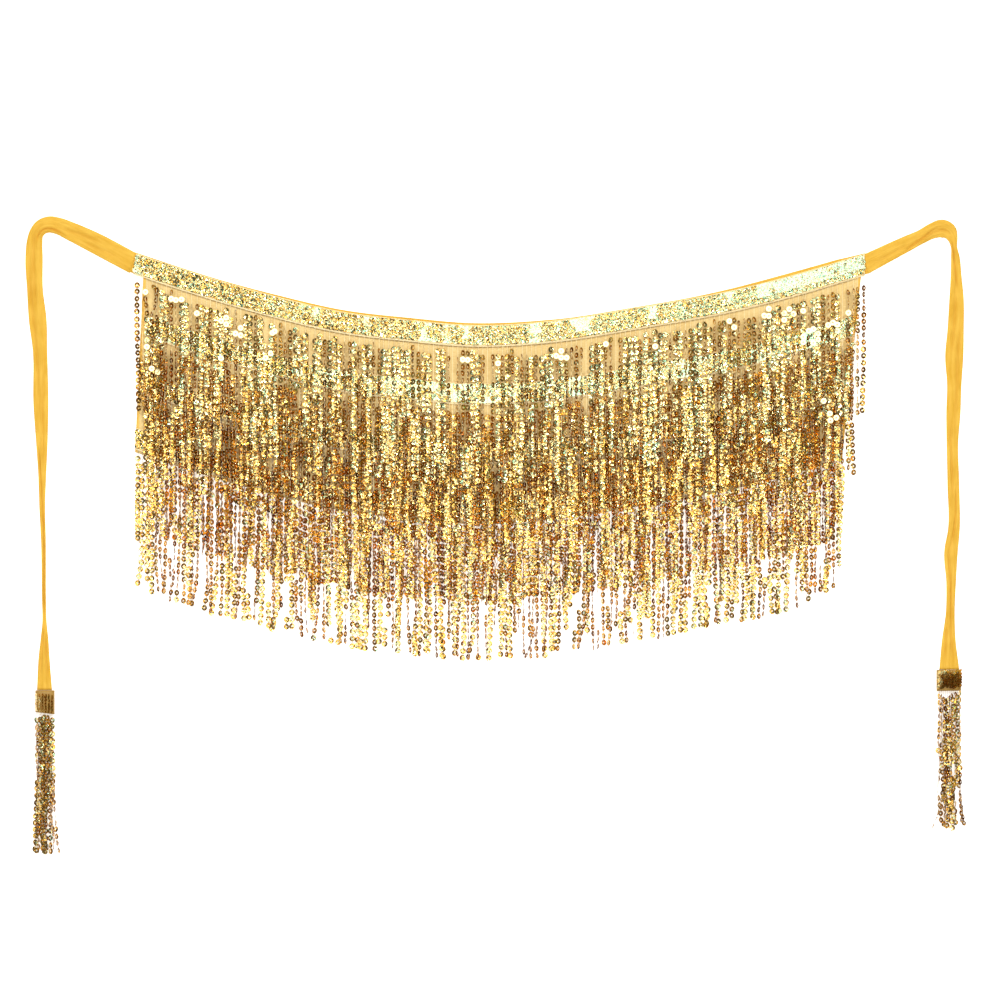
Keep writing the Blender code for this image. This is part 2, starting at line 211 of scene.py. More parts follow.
# Stretches of the first two bands where the sequins lie flat and shine evenly.
FLAT_STRETCHES = (
    (
        # from x, to x, share of the rows, from the top, that lie flat
        (-0.3980, -0.3890, 1.0), (-0.2350, -0.2310, 0.6), (-0.2140, -0.2100, 1.0),
        (-0.2000, -0.1920, 0.8), (-0.1415, -0.1360, 0.7), (-0.0843, -0.0722, 1.0),
        (-0.0557, -0.0491, 1.0), (-0.0392, -0.0282, 0.8), (0.0367, 0.0510, 1.0),
        (0.0664, 0.0730, 0.6), (0.0818, 0.1070, 0.8), (0.1665, 0.1797, 0.8),
        (0.2050, 0.2100, 0.6), (0.2540, 0.2640, 0.6), (0.2860, 0.4080, 0.85),
    ),
    (
        # from x, to x, share of the rows, from the top, that lie flat
        (-0.2180, -0.2100, 1.0), (-0.1950, -0.1700, 1.0), (-0.1260, 0.0240, 1.0),
        (0.0800, 0.0960, 1.0), (0.1990, 0.2300, 1.0), (0.2780, 0.2950, 1.0),
        (0.3230, 0.3570, 1.0),
    ),
)

# Places in the upper fringe where strung sequins lie flat.
FLAT_SPOTS = (
    # x, y, radius
    (-0.387, 0.266, 0.005), (-0.351, 0.260, 0.008), (-0.328, 0.247, 0.004),
    (-0.294, 0.242, 0.009), (-0.279, 0.225, 0.006), (-0.246, 0.227, 0.008),
    (-0.186, 0.219, 0.005), (-0.160, 0.215, 0.005), (-0.033, 0.195, 0.006),
    (0.005, 0.191, 0.004), (0.053, 0.201, 0.004), (0.073, 0.197, 0.007),
    (0.100, 0.195, 0.004), (0.119, 0.211, 0.006), (0.175, 0.207, 0.007),
    (0.260, 0.231, 0.006), (0.278, 0.240, 0.004), (0.298, 0.245, 0.006),
    (0.310, 0.236, 0.006), (0.321, 0.243, 0.008), (0.339, 0.249, 0.005),
    (0.345, 0.221, 0.012), (0.373, 0.232, 0.008), (0.386, 0.270, 0.005),
    (0.386, 0.248, 0.005), (0.236, 0.169, 0.005), (0.231, 0.142, 0.005),
    (0.358, 0.147, 0.005), (0.371, 0.131, 0.006), (-0.384, 0.206, 0.006),
    (-0.372, 0.182, 0.006), (-0.302, 0.196, 0.004), (-0.250, 0.200, 0.005),
)

# Places where the upper strings are pushed apart and the panel shows.
PARTINGS = (
    # x, y, half width, half height
    (-0.378, 0.262, 0.006, 0.019),
    (-0.251, 0.224, 0.007, 0.018),
    (0.345, 0.262, 0.005, 0.010),
)

RIM_CORNERS = 10
BAND_HOLE = 0.0012
BAND_CUP = math.radians(3)
FLAT_SHINE = 0.72

# One stitch along a band's lower edge.
STITCH = (
    # across, above the edge, below the tape's upper side
    (-0.0006, 0.0017, 0.0003), (0.0, 0.0008, 0.0), (0.0006, -0.0001, 0.0005),
)
STITCH_PITCH = 0.0015
STITCH_RADIUS = 0.0006

# Length of one wave of a wave texture at a scale of 1.
WAVE_LENGTH = 0.314

# The films of the sequins and the threads. The cells of all films tilt by the same angle.
CELL_TILT = math.radians(13)
FILMS = {
    # pale share, width of a cell, teal share, depth of the colours, roughness
    "gold_film": (0.08, 0.0011, 0.22, 1.04, 0.19),
    "pale_gold_film": (0.60, 0.0010, 0.31, 1.00, 0.17),
    "band_film": (0.78, 0.0009, 0.42, 0.93, 0.17),
    "dark_gold_film": (0.20, 0.0011, 0.27, 0.81, 0.22),
}
THREADS = {
    # the setting of its colour, roughness
    "peach_thread": ("knot", 0.8),
    "gold_thread": ("head", 0.5),
    "grey_thread": ("thread", 0.6),
    "cream_thread": ("stitch", 0.7),
}

LIGHTS = (
    # name, x, y, height, width, depth, the setting of its strength, tilt in degrees
    ("left_key", -1.7, 2.9, 4.6, 0.6, 0.6, "key_lamp", -32),
    ("right_key", 1.7, 2.9, 4.6, 0.6, 0.6, "key_lamp", -32),
    ("overhead_light", 0.0, 0.04, 5.0, 2.8, 2.6, "lamp", 0),
    ("upper_light", 0.0, 4.0, 4.5, 6.4, 4.6, "side_lamp", -42),
    ("lower_light", 0.0, -4.0, 4.5, 6.4, 4.6, "side_lamp", 42),
)
FLOOR_HALF = 12.0
FLOOR_LEVEL = -0.0002
VIEW_WIDTH = 1.1
VIEW_CENTRE = (0.0059, 0.0400)
SENSOR_WIDTH = 36.0
TURN = 2 * math.pi


# Sizes and colours that a user would change


def length(name, description, default):
    """A length setting, in metres."""
    return bpy.props.FloatProperty(
        name=name, description=description, default=default, min=0.0, unit="LENGTH",
        precision=5,
    )


def share(name, description, default):
    """A setting from 0 to 1."""
    return bpy.props.FloatProperty(
        name=name, description=description, default=default, min=0.0, max=1.0, subtype="FACTOR"
    )


def count(name, description, default):
    """A whole number."""
    return bpy.props.IntProperty(name=name, description=description, default=default, min=1)


def colour(name, description, default):
    """A colour setting."""
    return bpy.props.FloatVectorProperty(
        name=name, description=description, default=default, size=3, min=0.0, max=1.0,
        subtype="COLOR",
    )


class TrimSizes(bpy.types.PropertyGroup):
    """Sizes of the sequin trim."""

    sequin: length("Sequin", "Width of a sequin", 0.0066)
    hole: length("Hole", "Width of a sequin's hole", 0.0021)
    film: length("Film", "Thickness of a sequin's film", 0.00012)
    cup: bpy.props.FloatProperty(
        name="Cup", description="Slope of a sequin from its hole up to its rim",
        default=math.radians(12), unit="ROTATION",
    )
    crinkle: length("Crinkle", "How far the rim of a sequin bends up or down", 0.00013)
    pitch: length("String pitch", "From one sequin on a string to the next", 0.0075)
    bare: length("Bare thread", "Thread under the band before the first sequin", 0.0065)
    thread: length("Thread", "Thickness of the thread", 0.00055)
    loops: count("Upper loops", "Loops of fringe on each upper tier, each of two strings", 74)
    lower_loops: count("Lower loops", "Loops of fringe on each lower tier", 76)
    row_pitch: length("Row pitch", "From one sequin in a band's row to the next", 0.0039)
    rows: count("Rows", "Rows of sequins on a band", 5)
    tassel_strings: count("Tassel strings", "Strings of a tassel", 11)


class ClothSizes(bpy.types.PropertyGroup):
    """Sizes of the cloth."""

    wall: length("Tie wall", "Thickness of the cloth of a tie", 0.0004)
    rib: length("Rib", "From one rib of the knit to the next", 0.0022)
    hem: length("Hem", "Width of the hems at the panel's sides", 0.0032)


class BeltColours(bpy.types.PropertyGroup):
    """Colours of the cloth, the trim and the thread."""

    tie: colour("Tie cloth", "Yellow of the ties and the waist strip", (0.78, 0.475, 0.060))
    tie_shade: colour("Tie shade", "Yellow where the knit runs darker", (0.67, 0.365, 0.028))
    panel: colour("Panel cloth", "Gold of the panel behind the fringe", (0.80, 0.61, 0.27))
    panel_shade: colour("Panel shade", "Gold where the panel runs darker", (0.72, 0.51, 0.19))
    hem: colour("Panel hem", "Yellow of the panel's hems", (0.85, 0.52, 0.10))
    tape: colour("Trim tape", "Cream of the tape that carries the sequins", (0.95, 0.77, 0.42))
    thread: colour("Thread", "Thread that the sequins are strung on", (0.44, 0.38, 0.33))
    stitch: colour("Stitch", "Stitches along the edge of a band", (1.0, 0.86, 0.50))
    knot: colour("Knot", "Thread in the hole of a sequin on a band", (1.0, 0.80, 0.44))
    head: colour("Tassel head", "Thread wound round the head of a tassel", (0.40, 0.23, 0.04))
    gold: colour("Sequin gold", "The film's main colour", (0.88, 0.52, 0.09))
    pale: colour("Sequin pale gold", "The film where it is pale", (0.93, 0.83, 0.48))
    copper: colour("Sequin copper", "The film where it turns to copper", (0.68, 0.27, 0.06))
    teal: colour("Sequin teal", "The film where it turns to teal", (0.32, 0.70, 0.46))


class StageSettings(bpy.types.PropertyGroup):
    """The camera, the lights and the floor."""

    height: length("Camera height", "From the floor to the camera", 4.0)
    lamp: share("Overhead light", "Strength of the light above, in thousands of watts", 0.084)
    side_lamp: share("End lights", "Strength of each end light, in thousands of watts", 0.143)
    key_lamp: share("Key lights", "Strength of each small key light, in thousands of watts", 0.078)
    room: share("Room light", "Strength of the light from all round", 0.15)
    glow: share("Floor glow", "Strength of the light that the floor gives off", 0.55)
    floor: colour("Floor", "Colour of the floor", (0.97, 0.97, 0.97))


# Shapes


def smooth_curve(knots, values, at):
    """A smooth run through the values at the knots: cubics that keep one slope at each knot."""
    knots = np.asarray(knots, dtype=float)
    values = np.asarray(values, dtype=float)
    slopes = np.gradient(values, knots)
    at = np.clip(at, knots[0], knots[-1])
    piece = np.clip(np.searchsorted(knots, at, side="right") - 1, 0, len(knots) - 2)
    span = knots[piece + 1] - knots[piece]
    part = (at - knots[piece]) / span
    start = (1 + 2 * part) * (1 - part) ** 2 * values[piece]
    start_slope = part * (1 - part) ** 2 * span * slopes[piece]
    end = part**2 * (3 - 2 * part) * values[piece + 1]
    end_slope = part**2 * (part - 1) * span * slopes[piece + 1]
    return start + start_slope + end + end_slope


def smooth_step(low, high, at):
    """Nought before low, one after high, and a soft rise between them."""
    part = np.clip((np.asarray(at, dtype=float) - low) / (high - low), 0.0, 1.0)
    return part * part * (3 - 2 * part)


def waist_edge(x):
    """The height on the sheet of the waist band's lower edge at x."""
    table = np.array(WAIST_EDGE)
    return smooth_curve(table[:, 0], table[:, 1], x)


def waist_slope(x):
    """The rise of the waist band's lower edge for each metre along x."""
    return (waist_edge(x + 0.001) - waist_edge(x - 0.001)) / 0.002


def tier_edge(x, number):
    """The height on the sheet of the lower edge of a tier's band at x."""
    return waist_edge(x) - number * TIER_STEP


def band_base(number):
    """The level on which a tier's tape lies."""
    return ON_STRIP if number == 0 else ON_PANEL


def waist_point(x, across):
    """Points at a distance across the band from its middle line, square to the line."""
    slope = waist_slope(x)
    size = np.sqrt(1 + slope**2)
    middle = waist_edge(x) + BAND_HEIGHT / 2
    return x - across * slope / size, middle + across / size


def joined(*parts):
    """Numbers or arrays put beside each other as the last axis of one array."""
    return np.stack(np.broadcast_arrays(*parts), axis=-1)


def build_mesh(name, points, faces, material, smooth=False, uv=None, face_values=None,
               point_values=None):
    """One object from arrays of points and of faces that all have as many corners.

    Its materials can read the named numbers of its faces and of its points.
    """
    mesh = bpy.data.meshes.new(name)
    mesh.vertices.add(len(points))
    mesh.vertices.foreach_set("co", np.asarray(points, dtype=np.float32).ravel())
    mesh.loops.add(faces.size)
    mesh.loops.foreach_set("vertex_index", np.asarray(faces, dtype=np.int32).ravel())
    mesh.polygons.add(len(faces))
    starts = np.arange(0, faces.size, faces.shape[1], dtype=np.int32)
    mesh.polygons.foreach_set("loop_start", starts)
    mesh.polygons.foreach_set("use_smooth", np.full(len(faces), smooth))
    mesh.update(calc_edges=True)
    if uv is not None:
        layer = mesh.uv_layers.new(name="Cloth")
        layer.uv.foreach_set("vector", np.asarray(uv, dtype=np.float32)[faces.ravel()].ravel())
    for domain, numbers in (("FACE", face_values), ("POINT", point_values)):
        for label, values in (numbers or {}).items():
            kept = mesh.attributes.new(label, "FLOAT", domain)
            kept.data.foreach_set("value", np.asarray(values, dtype=np.float32).ravel())
    mesh.materials.append(material)
    piece = bpy.data.objects.new(name, mesh)
    bpy.context.scene.collection.objects.link(piece)
    return piece


def finish_piece(piece, node):
    """Lets a piece ride on the belt and stand for its solid, which it hides."""
    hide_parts(node)
    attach(piece, "root")


def closed_slab(top, bottom):
    """Points and faces of a shell: an upper grid, a lower grid and the walls round both.

    The grids run up the sheet by row and along it by column, so the upper faces look up.
    """
    rows, columns = top.shape[:2]
    points = np.concatenate([top.reshape(-1, 3), bottom.reshape(-1, 3)])
    index = np.arange(rows * columns).reshape(rows, columns)
    upper = joined(index[:-1, :-1], index[:-1, 1:], index[1:, 1:], index[1:, :-1]).reshape(-1, 4)
    lower = upper[:, ::-1] + rows * columns
    rim = np.concatenate([index[0, :-1], index[:-1, -1], index[-1, :0:-1], index[:0:-1, 0]])
    ahead = np.roll(rim, -1)
    wall = joined(rim + rows * columns, ahead + rows * columns, ahead, rim)
    return points, np.concatenate([upper, lower, wall])


def thread_tubes(paths, radius, sides=3):
    """Points and triangles of closed tubes along many paths that have as many points each.

    Each ring stands in the plane of x and z, because the threads run down the sheet.
    """
    strings, steps = paths.shape[:2]
    angle = np.arange(sides) * TURN / sides
    ring = radius * joined(np.cos(angle), 0.0, np.sin(angle))
    points = paths[:, :, None] + ring
    index = np.arange(strings * steps * sides).reshape(strings, steps, sides)
    near, far = index[:, :-1], index[:, 1:]
    near_next, far_next = np.roll(near, -1, axis=2), np.roll(far, -1, axis=2)
    walls = joined(near, near_next, far_next, near, far_next, far).reshape(-1, 3)
    fan = np.array([(0, corner, corner + 1) for corner in range(1, sides - 1)])
    start_caps = index[:, 0][:, fan[:, ::-1]].reshape(-1, 3)
    end_caps = index[:, -1][:, fan].reshape(-1, 3)
    return points.reshape(-1, 3), np.concatenate([walls, start_caps, end_caps])


def ring_shape(width, hole, slope, film):
    """One sequin: a rim circle, and a lower hole circle on each side of the film.

    The film rises by the slope from the hole to the rim. The hole has half as many corners as
    the rim, so each of its corners starts a sector of two rim edges.
    """
    rise = (width - hole) / 2 * math.tan(slope)
    sectors = RIM_CORNERS // 2
    rim_turn = np.arange(RIM_CORNERS) * TURN / RIM_CORNERS
    hole_turn = np.arange(sectors) * TURN / sectors

    def circle(turn, across, level):
        return joined(np.cos(turn) * across / 2, np.sin(turn) * across / 2, level)

    points = np.concatenate([
        circle(rim_turn, width, rise / 2),
        circle(hole_turn, hole, -rise / 2 + film / 2),
        circle(hole_turn, hole, -rise / 2 - film / 2),
    ])
    sector = np.arange(sectors)
    rim_a, rim_b, rim_c = 2 * sector, 2 * sector + 1, (2 * sector + 2) % RIM_CORNERS
    top_a, top_b = RIM_CORNERS + sector, RIM_CORNERS + (sector + 1) % sectors
    low_a, low_b = top_a + sectors, top_b + sectors
    corners = (
        (top_a, rim_a, rim_b), (top_a, rim_b, top_b), (top_b, rim_b, rim_c),
        (low_a, rim_b, rim_a), (low_a, low_b, rim_b), (low_b, rim_c, rim_b),
        (top_a, top_b, low_b), (top_a, low_b, low_a),
    )
    faces = np.concatenate([joined(*corner) for corner in corners])
    return points, faces


def stamp(draws, shape, centres, axes, crinkle, flatness):
    """The shape repeated at every centre, each turned to its own three axes.

    The rim's corners are bent up or down by chance, and a flat sequin has neither bends nor cup.
    """
    points, faces = shape
    placed = np.repeat(points[None], len(centres), axis=0)
    placed[:, :RIM_CORNERS, 2] += draws.normal(0, crinkle, (len(centres), RIM_CORNERS))
    placed[..., 2] *= 1 - 0.92 * np.asarray(flatness, dtype=float)[:, None]
    placed = centres[:, None] + np.einsum("nkj,njc->nkc", placed, axes)
    corners = faces[None] + len(points) * np.arange(len(centres))[:, None, None]
    return placed.reshape(-1, 3), corners.reshape(-1, 3)


def turned(first, second, angle):
    """Two unit axes, each turned towards the other's side by an angle in their own plane."""
    cosine, sine = np.cos(angle)[:, None], np.sin(angle)[:, None]
    return first * cosine + second * sine, second * cosine - first * sine


def sequin_axes(along, twist, tip, spin):
    """Three unit axes for each sequin.

    It starts flat with its second axis along the string, is twisted round the string, tipped
    along it, and spun in its own plane.
    """
    along = along / np.linalg.norm(along, axis=1, keepdims=True)
    side = np.cross(along, np.broadcast_to(np.array([0.0, 0.0, 1.0]), along.shape))
    side /= np.linalg.norm(side, axis=1, keepdims=True)
    side, up = turned(side, np.cross(side, along), twist)
    along, up = turned(along, up, tip)
    side, along = turned(side, along, spin)
    return np.stack([side, along, up], axis=1)


def film_values(draws, flat, faces_each, flat_grain, tone, spread):
    """Three numbers for each face: its place on the film's run of colours, grain and shine.

    The place is the sequin's tone, moved by one number for the whole sequin, which the spread
    sets, and by the face's own. The film of a flat sequin is pale and has less grain and shine.
    """
    own = draws.uniform(-0.5, 0.5, (len(flat), faces_each))
    shared = draws.uniform(-0.5, 0.5, (len(flat), 1))
    flat = np.broadcast_to(flat[:, None], own.shape)
    place = 0.5 + tone[:, None] + spread * shared + 0.26 * own
    return {
        "film": np.where(flat, 0.44 + 0.04 * own, place),
        "grain": np.where(flat, flat_grain, 1.0),
        "shine": np.where(flat, FLAT_SHINE, 1.0),
    }


def sequin_mesh(name, material, draws, shape, placed, crinkle, flat_grain, spread=0.20):
    """One mesh of many sequins, with the numbers that set the colours of its film.

    The rim number goes from 0 at the hole to 1 at the rim, where the film is darkened into an
    outline: painted shade for the dark reflection of the steeper rim and the shadow between
    lapped sequins. It stays 0 on a flat sequin.
    """
    centres, axes, flat, tone = placed
    points, faces = stamp(draws, shape, centres, axes, crinkle, flat)
    rim = (np.arange(len(shape[0])) < RIM_CORNERS) & ~flat[:, None]
    values = film_values(draws, flat, len(shape[1]), flat_grain, tone, spread)
    return build_mesh(name, points, faces, material, face_values=values, point_values={"rim": rim})


# Materials


def set_inputs(node, **values):
    """Sets a node's inputs by name, with a low line for each space."""
    for name, value in values.items():
        node.inputs[name.replace("_", " ")].default_value = value


def new_material(name, **finish):
    """A node material with a finish, its tree and its main shader."""
    material = bpy.data.materials.new(name)
    material.use_nodes = True
    tree = material.node_tree
    shader = tree.nodes["Principled BSDF"]
    set_inputs(shader, **finish)
    return material, tree, shader


def link(tree, start, end):
    """Joins an output to an input."""
    tree.links.new(start, end)


def scaled_coordinates(tree, output, scale):
    """A coordinate output, stretched by a scale for each axis."""
    source = tree.nodes.new("ShaderNodeTexCoord")
    mapping = tree.nodes.new("ShaderNodeMapping")
    set_inputs(mapping, Scale=scale)
    link(tree, source.outputs[output], mapping.inputs["Vector"])
    return mapping.outputs["Vector"]


def noise(tree, output, scale, detail):
    """A noise between 0 and 1 on a coordinate output, as fine as the scale says on each axis."""
    node = tree.nodes.new("ShaderNodeTexNoise")
    set_inputs(node, Scale=1.0, Detail=detail)
    link(tree, scaled_coordinates(tree, output, scale), node.inputs["Vector"])
    return node.outputs["Fac"]


def ramp(tree, value, stops):
    """A colour ramp with a stop for each place and colour."""
    node = tree.nodes.new("ShaderNodeValToRGB")
    elements = node.color_ramp.elements
    while len(elements) < len(stops):
        elements.new(1.0)
    for element, (place, shade) in zip(elements, stops):
        element.position = place
        element.color = (*shade, 1.0)
    link(tree, value, node.inputs["Fac"])
    return node.outputs["Color"]


def attribute(tree, name):
    """A number kept on the faces or on the points of a piece."""
    node = tree.nodes.new("ShaderNodeAttribute")
    node.attribute_name = name
    return node.outputs["Fac"]


def bump(tree, height, strength, distance, shader):
    """A bump on a shader."""
    node = tree.nodes.new("ShaderNodeBump")
    set_inputs(node, Strength=strength, Distance=distance)
    link(tree, height, node.inputs["Height"])
    link(tree, node.outputs["Normal"], shader.inputs["Normal"])


def value_sum(tree, kind, first, second):
    """Two numbers joined by one sum."""
    node = tree.nodes.new("ShaderNodeMath")
    node.operation = kind
    link(tree, first, node.inputs[0])
    if isinstance(second, (int, float)):
        node.inputs[1].default_value = second
    else:
        link(tree, second, node.inputs[1])
    return node.outputs["Value"]


def vector_sum(tree, kind, first, second=None):
    """Two vectors joined by one sum, or one vector on its own."""
    node = tree.nodes.new("ShaderNodeVectorMath")
    node.operation = kind
    link(tree, first, node.inputs[0])
    if isinstance(second, tuple):
        node.inputs[1].default_value = second
    elif second is not None:
        link(tree, second, node.inputs["Scale" if kind == "SCALE" else 1])
    return node.outputs["Vector"]


def mottled(tree, first, second, dark, light):
    """A colour between a dark and a light one, by the mean of two noises.

    Dark and light are each a place on that mean and a colour.
    """
    mean = value_sum(tree, "MULTIPLY", value_sum(tree, "ADD", first, second), 0.5)
    return ramp(tree, mean, (dark, light))


def wave(tree, scale, stretch, distortion, detail=2.0):
    """A wave texture on the piece's own map of its cloth."""
    node = tree.nodes.new("ShaderNodeTexWave")
    set_inputs(node, Scale=scale, Distortion=distortion, Detail=detail)
    link(tree, scaled_coordinates(tree, "UV", stretch), node.inputs["Vector"])
    return node


def cloth_material(name, light_shade, dark_shade, rib):
    """Soft knit: long streaks of a darker shade, and ribs with short cross stitches as a bump.

    Where the crease shade number of the points rises, in the troughs of the creases, the
    colour is darkened towards a deeper tint: painted shade.
    """
    material, tree, shader = new_material(
        name, Roughness=0.72, Sheen_Weight=0.15, Sheen_Roughness=0.45,
        Sheen_Tint=(1.0, 0.85, 0.55, 1.0), Specular_IOR_Level=0.25,
    )
    streaks = noise(tree, "UV", (330.0, 28.0, 1.0), 3.0)
    blotches = noise(tree, "UV", (60.0, 45.0, 1.0), 2.0)
    base = mottled(tree, streaks, blotches, (0.36, dark_shade), (0.62, light_shade))
    # Painted shade: the crease shade number darkens the cloth in the troughs of its creases.
    painted_crease_shade = ramp(tree, attribute(tree, "fold"), ((0.0, (1.0, 1.0, 1.0)), (1.0, CREASE_SHADE_TINT)))
    link(tree, vector_sum(tree, "MULTIPLY", base, painted_crease_shade), shader.inputs["Base Color"])
    ribs = wave(tree, WAVE_LENGTH / rib, (1.0, 0.3, 1.0), 1.5)
    grain = noise(tree, "UV", (1900.0, 2600.0, 1.0), 1.0)
    bump(tree, value_sum(tree, "ADD", ribs.outputs["Fac"], grain), 0.35, 0.00025, shader)
    return material


def panel_material(name, colours, hem):
    """Backing cloth with a twill bump, and yellow hems by the distance to its nearest side."""
    material, tree, shader = new_material(
        name, Roughness=0.7, Sheen_Weight=0.12, Sheen_Roughness=0.4, Specular_IOR_Level=0.3
    )
    patches = noise(tree, "UV", (38.0, 90.0, 1.0), 3.0)
    threads = noise(tree, "UV", (900.0, 180.0, 1.0), 2.0)
    base = mottled(tree, patches, threads, (0.38, colours.panel_shade), (0.60, colours.panel))
    distance = value_sum(tree, "MULTIPLY", attribute(tree, "side_distance"), 1.0 / (2 * hem))
    at_hem = ramp(tree, distance, ((0.45, (1.0, 1.0, 1.0)), (0.55, (0.0, 0.0, 0.0))))
    mix = tree.nodes.new("ShaderNodeMix")
    mix.data_type = "RGBA"
    first_colour, second_colour, mixed = mix.inputs[6], mix.inputs[7], mix.outputs[2]
    link(tree, at_hem, mix.inputs["Factor"])
    link(tree, base, first_colour)
    second_colour.default_value = (*colours.hem, 1.0)
    link(tree, mixed, shader.inputs["Base Color"])
    twill = wave(tree, 260.0, (1.0, 1.0, 1.0), 0.8)
    twill.bands_direction = "DIAGONAL"
    bump(tree, value_sum(tree, "ADD", twill.outputs["Fac"], threads), 0.3, 0.0002, shader)
    return material


def tape_material(name, colours):
    """Woven tape: cream with peach threads across it, and a fine weave as a bump."""
    _, tree, shader = new_material(name, Roughness=0.8, Specular_IOR_Level=0.2)
    across = noise(tree, "Object", (620.0, 240.0, 240.0), 2.0)
    peach = tuple(part * tint for part, tint in zip(colours.tape, (0.98, 0.85, 0.68)))
    base = ramp(tree, across, ((0.35, peach), (0.62, tuple(colours.tape))))
    link(tree, base, shader.inputs["Base Color"])
    bump(tree, noise(tree, "Object", (1500.0, 2500.0, 1500.0), 1.0), 0.4, 0.0002, shader)


def thread_material(name, shade, gloss):
    """Spun thread, lighter and darker along its length."""
    _, tree, shader = new_material(name, Roughness=gloss, Specular_IOR_Level=0.4)
    patches = noise(tree, "Object", (420.0, 160.0, 420.0), 2.0)
    dark = tuple(part * 0.86 for part in shade)
    base = ramp(tree, patches, ((0.35, dark), (0.65, tuple(shade))))
    link(tree, base, shader.inputs["Base Color"])
    bump(tree, noise(tree, "Object", (3000.0, 1200.0, 3000.0), 1.0), 0.3, 0.0001, shader)


def film_stops(colours, pale_share, teal_share, depth):
    """The film's run of colours from dark teal through pale and gold to dark copper.

    The pale share moves the run from gold towards pale gold, the teal share says where teal
    ends, and the depth darkens it.
    """
    teal, pale, gold, copper = (
        np.array(shade) for shade in (colours.teal, colours.pale, colours.gold, colours.copper)
    )
    middle = gold * (1 - pale_share) + pale * pale_share
    bright_share = 0.45 + 0.5 * pale_share
    bright = pale * bright_share + middle * (1 - bright_share)
    warm = copper * (1 - pale_share) + gold * pale_share
    stops = (
        (0.00, copper * 0.2 + teal * 0.1), (0.10, teal * 0.4 + copper * 0.1),
        (teal_share * 0.75, teal), (teal_share, teal * 0.5 + bright * 0.5),
        (teal_share + 0.10, bright), (0.55, middle), (0.68, gold),
        (0.78, gold * 0.5 + warm * 0.5), (0.86, warm * 0.9), (0.93, copper * 0.28),
    )
    return [(place, tuple(np.clip(shade * depth, 0, 1))) for place, shade in stops]


def sequin_material(name, colours, pale_share, cell, teal_share, depth, rough):
    """Foil film pressed into fine cells: each cell has its own tilt and its own colour.

    A cell's place on the run of colours is the place of its facet plus a number of its own. The
    grain of a facet sets how much its cells differ.
    """
    _, tree, shader = new_material(name, Metallic=1.0, Roughness=rough)
    cells = tree.nodes.new("ShaderNodeTexVoronoi")
    set_inputs(cells, Scale=1.0)
    link(tree, scaled_coordinates(tree, "Object", (1 / cell, 1 / cell, 1 / cell)),
         cells.inputs["Vector"])
    centred = vector_sum(tree, "ADD", cells.outputs["Color"], (-0.5, -0.5, -0.5))
    grain = attribute(tree, "grain")
    parts = tree.nodes.new("ShaderNodeSeparateXYZ")
    link(tree, centred, parts.inputs["Vector"])
    own = value_sum(tree, "MULTIPLY", parts.outputs["X"], grain)
    own = value_sum(tree, "MULTIPLY", own, 0.62)
    place = value_sum(tree, "ADD", attribute(tree, "film"), own)
    base = ramp(tree, place, film_stops(colours, pale_share, teal_share, depth))
    # Towards the rim the film darkens into an outline: painted shade.
    painted_rim_shade = ramp(tree, attribute(tree, "rim"), (
        (0.72, (1.0, 1.0, 1.0)), (0.84, (0.74, 0.61, 0.42)), (1.0, (0.66, 0.52, 0.33))))
    rim_shaded = vector_sum(tree, "MULTIPLY", base, painted_rim_shade)
    shaded = vector_sum(tree, "SCALE", rim_shaded, attribute(tree, "shine"))
    link(tree, shaded, shader.inputs["Base Color"])
    amount = value_sum(tree, "MULTIPLY", grain, 2 * math.tan(CELL_TILT))
    faced = tree.nodes.new("ShaderNodeNewGeometry").outputs["Normal"]
    tilted = vector_sum(tree, "ADD", faced, vector_sum(tree, "SCALE", centred, amount))
    link(tree, vector_sum(tree, "NORMALIZE", tilted), shader.inputs["Normal"])


def yellow_knit(context):
    """The cloth of the strip and the ties, made once."""
    colours = context.scene.belt_colours
    return bpy.data.materials.get("yellow_knit") or cloth_material(
        "yellow_knit", tuple(colours.tie), tuple(colours.tie_shade), context.scene.belt_cloth.rib)


def trim_materials(colours):
    """The materials of the trim by name, made once."""
    if "cream_tape" not in bpy.data.materials:
        tape_material("cream_tape", colours)
        for name, numbers in FILMS.items():
            sequin_material(name, colours, *numbers)
        for name, (setting, gloss) in THREADS.items():
            thread_material(name, getattr(colours, setting), gloss)
    return bpy.data.materials


# Cloth


def strip_edges(x):
    """The lower and upper edge of the waist strip across the band, narrower at its two ends.

    The lower edge stays just under the tape. How much cloth shows over the band follows a smooth
    run through the table.
    """
    end = np.minimum(x - SEAM_LEFT, SEAM_RIGHT - x)
    part = np.clip(end / STRIP_END_TAPER, 0, 1)
    places, widths = np.array(CLOTH_SHOWS).T
    shows = smooth_curve(places, widths, x)
    low = -BAND_HEIGHT / 2 / np.sqrt(1 + waist_slope(x) ** 2) + STRIP_UNDER_TAPE
    return low + STRIP_END_RISE * (1 - part), BAND_HEIGHT / 2 + shows * part


def slab_uv(top):
    """Distances along and across an upper grid, in metres, for it and for the grid below it."""
    along = np.zeros(top.shape[:2])
    along[:, 1:] = np.cumsum(np.linalg.norm(np.diff(top, axis=1), axis=2), axis=1)
    across = np.zeros(top.shape[:2])
    across[1:] = np.cumsum(np.linalg.norm(np.diff(top, axis=0), axis=2), axis=0)
    flat = joined(across, along).reshape(-1, 2)
    return np.concatenate([flat, flat])


def build_slab(name, x, y, level, base, material, grids=None):
    """A closed shell from an upper surface at a level down to a flat base.

    Each named grid of numbers is kept on the faces, as the mean of its corners.
    """
    x, y, level = np.broadcast_arrays(x, y, level)
    top = joined(x, y, level)
    points, faces = closed_slab(top, joined(x, y, base))
    values = {
        label: np.concatenate([grid.ravel(), grid.ravel()])[faces].mean(axis=1)
        for label, grid in (grids or {}).items()
    }
    return build_mesh(name, points, faces, material, True, slab_uv(top), values)


def rounded(part, least):
    """The share of its full thickness that cloth has across a strip, less at both edges."""
    return least + (1 - least) * np.sqrt(np.clip(1 - np.abs(2 * part - 1) ** 5, 0, 1))


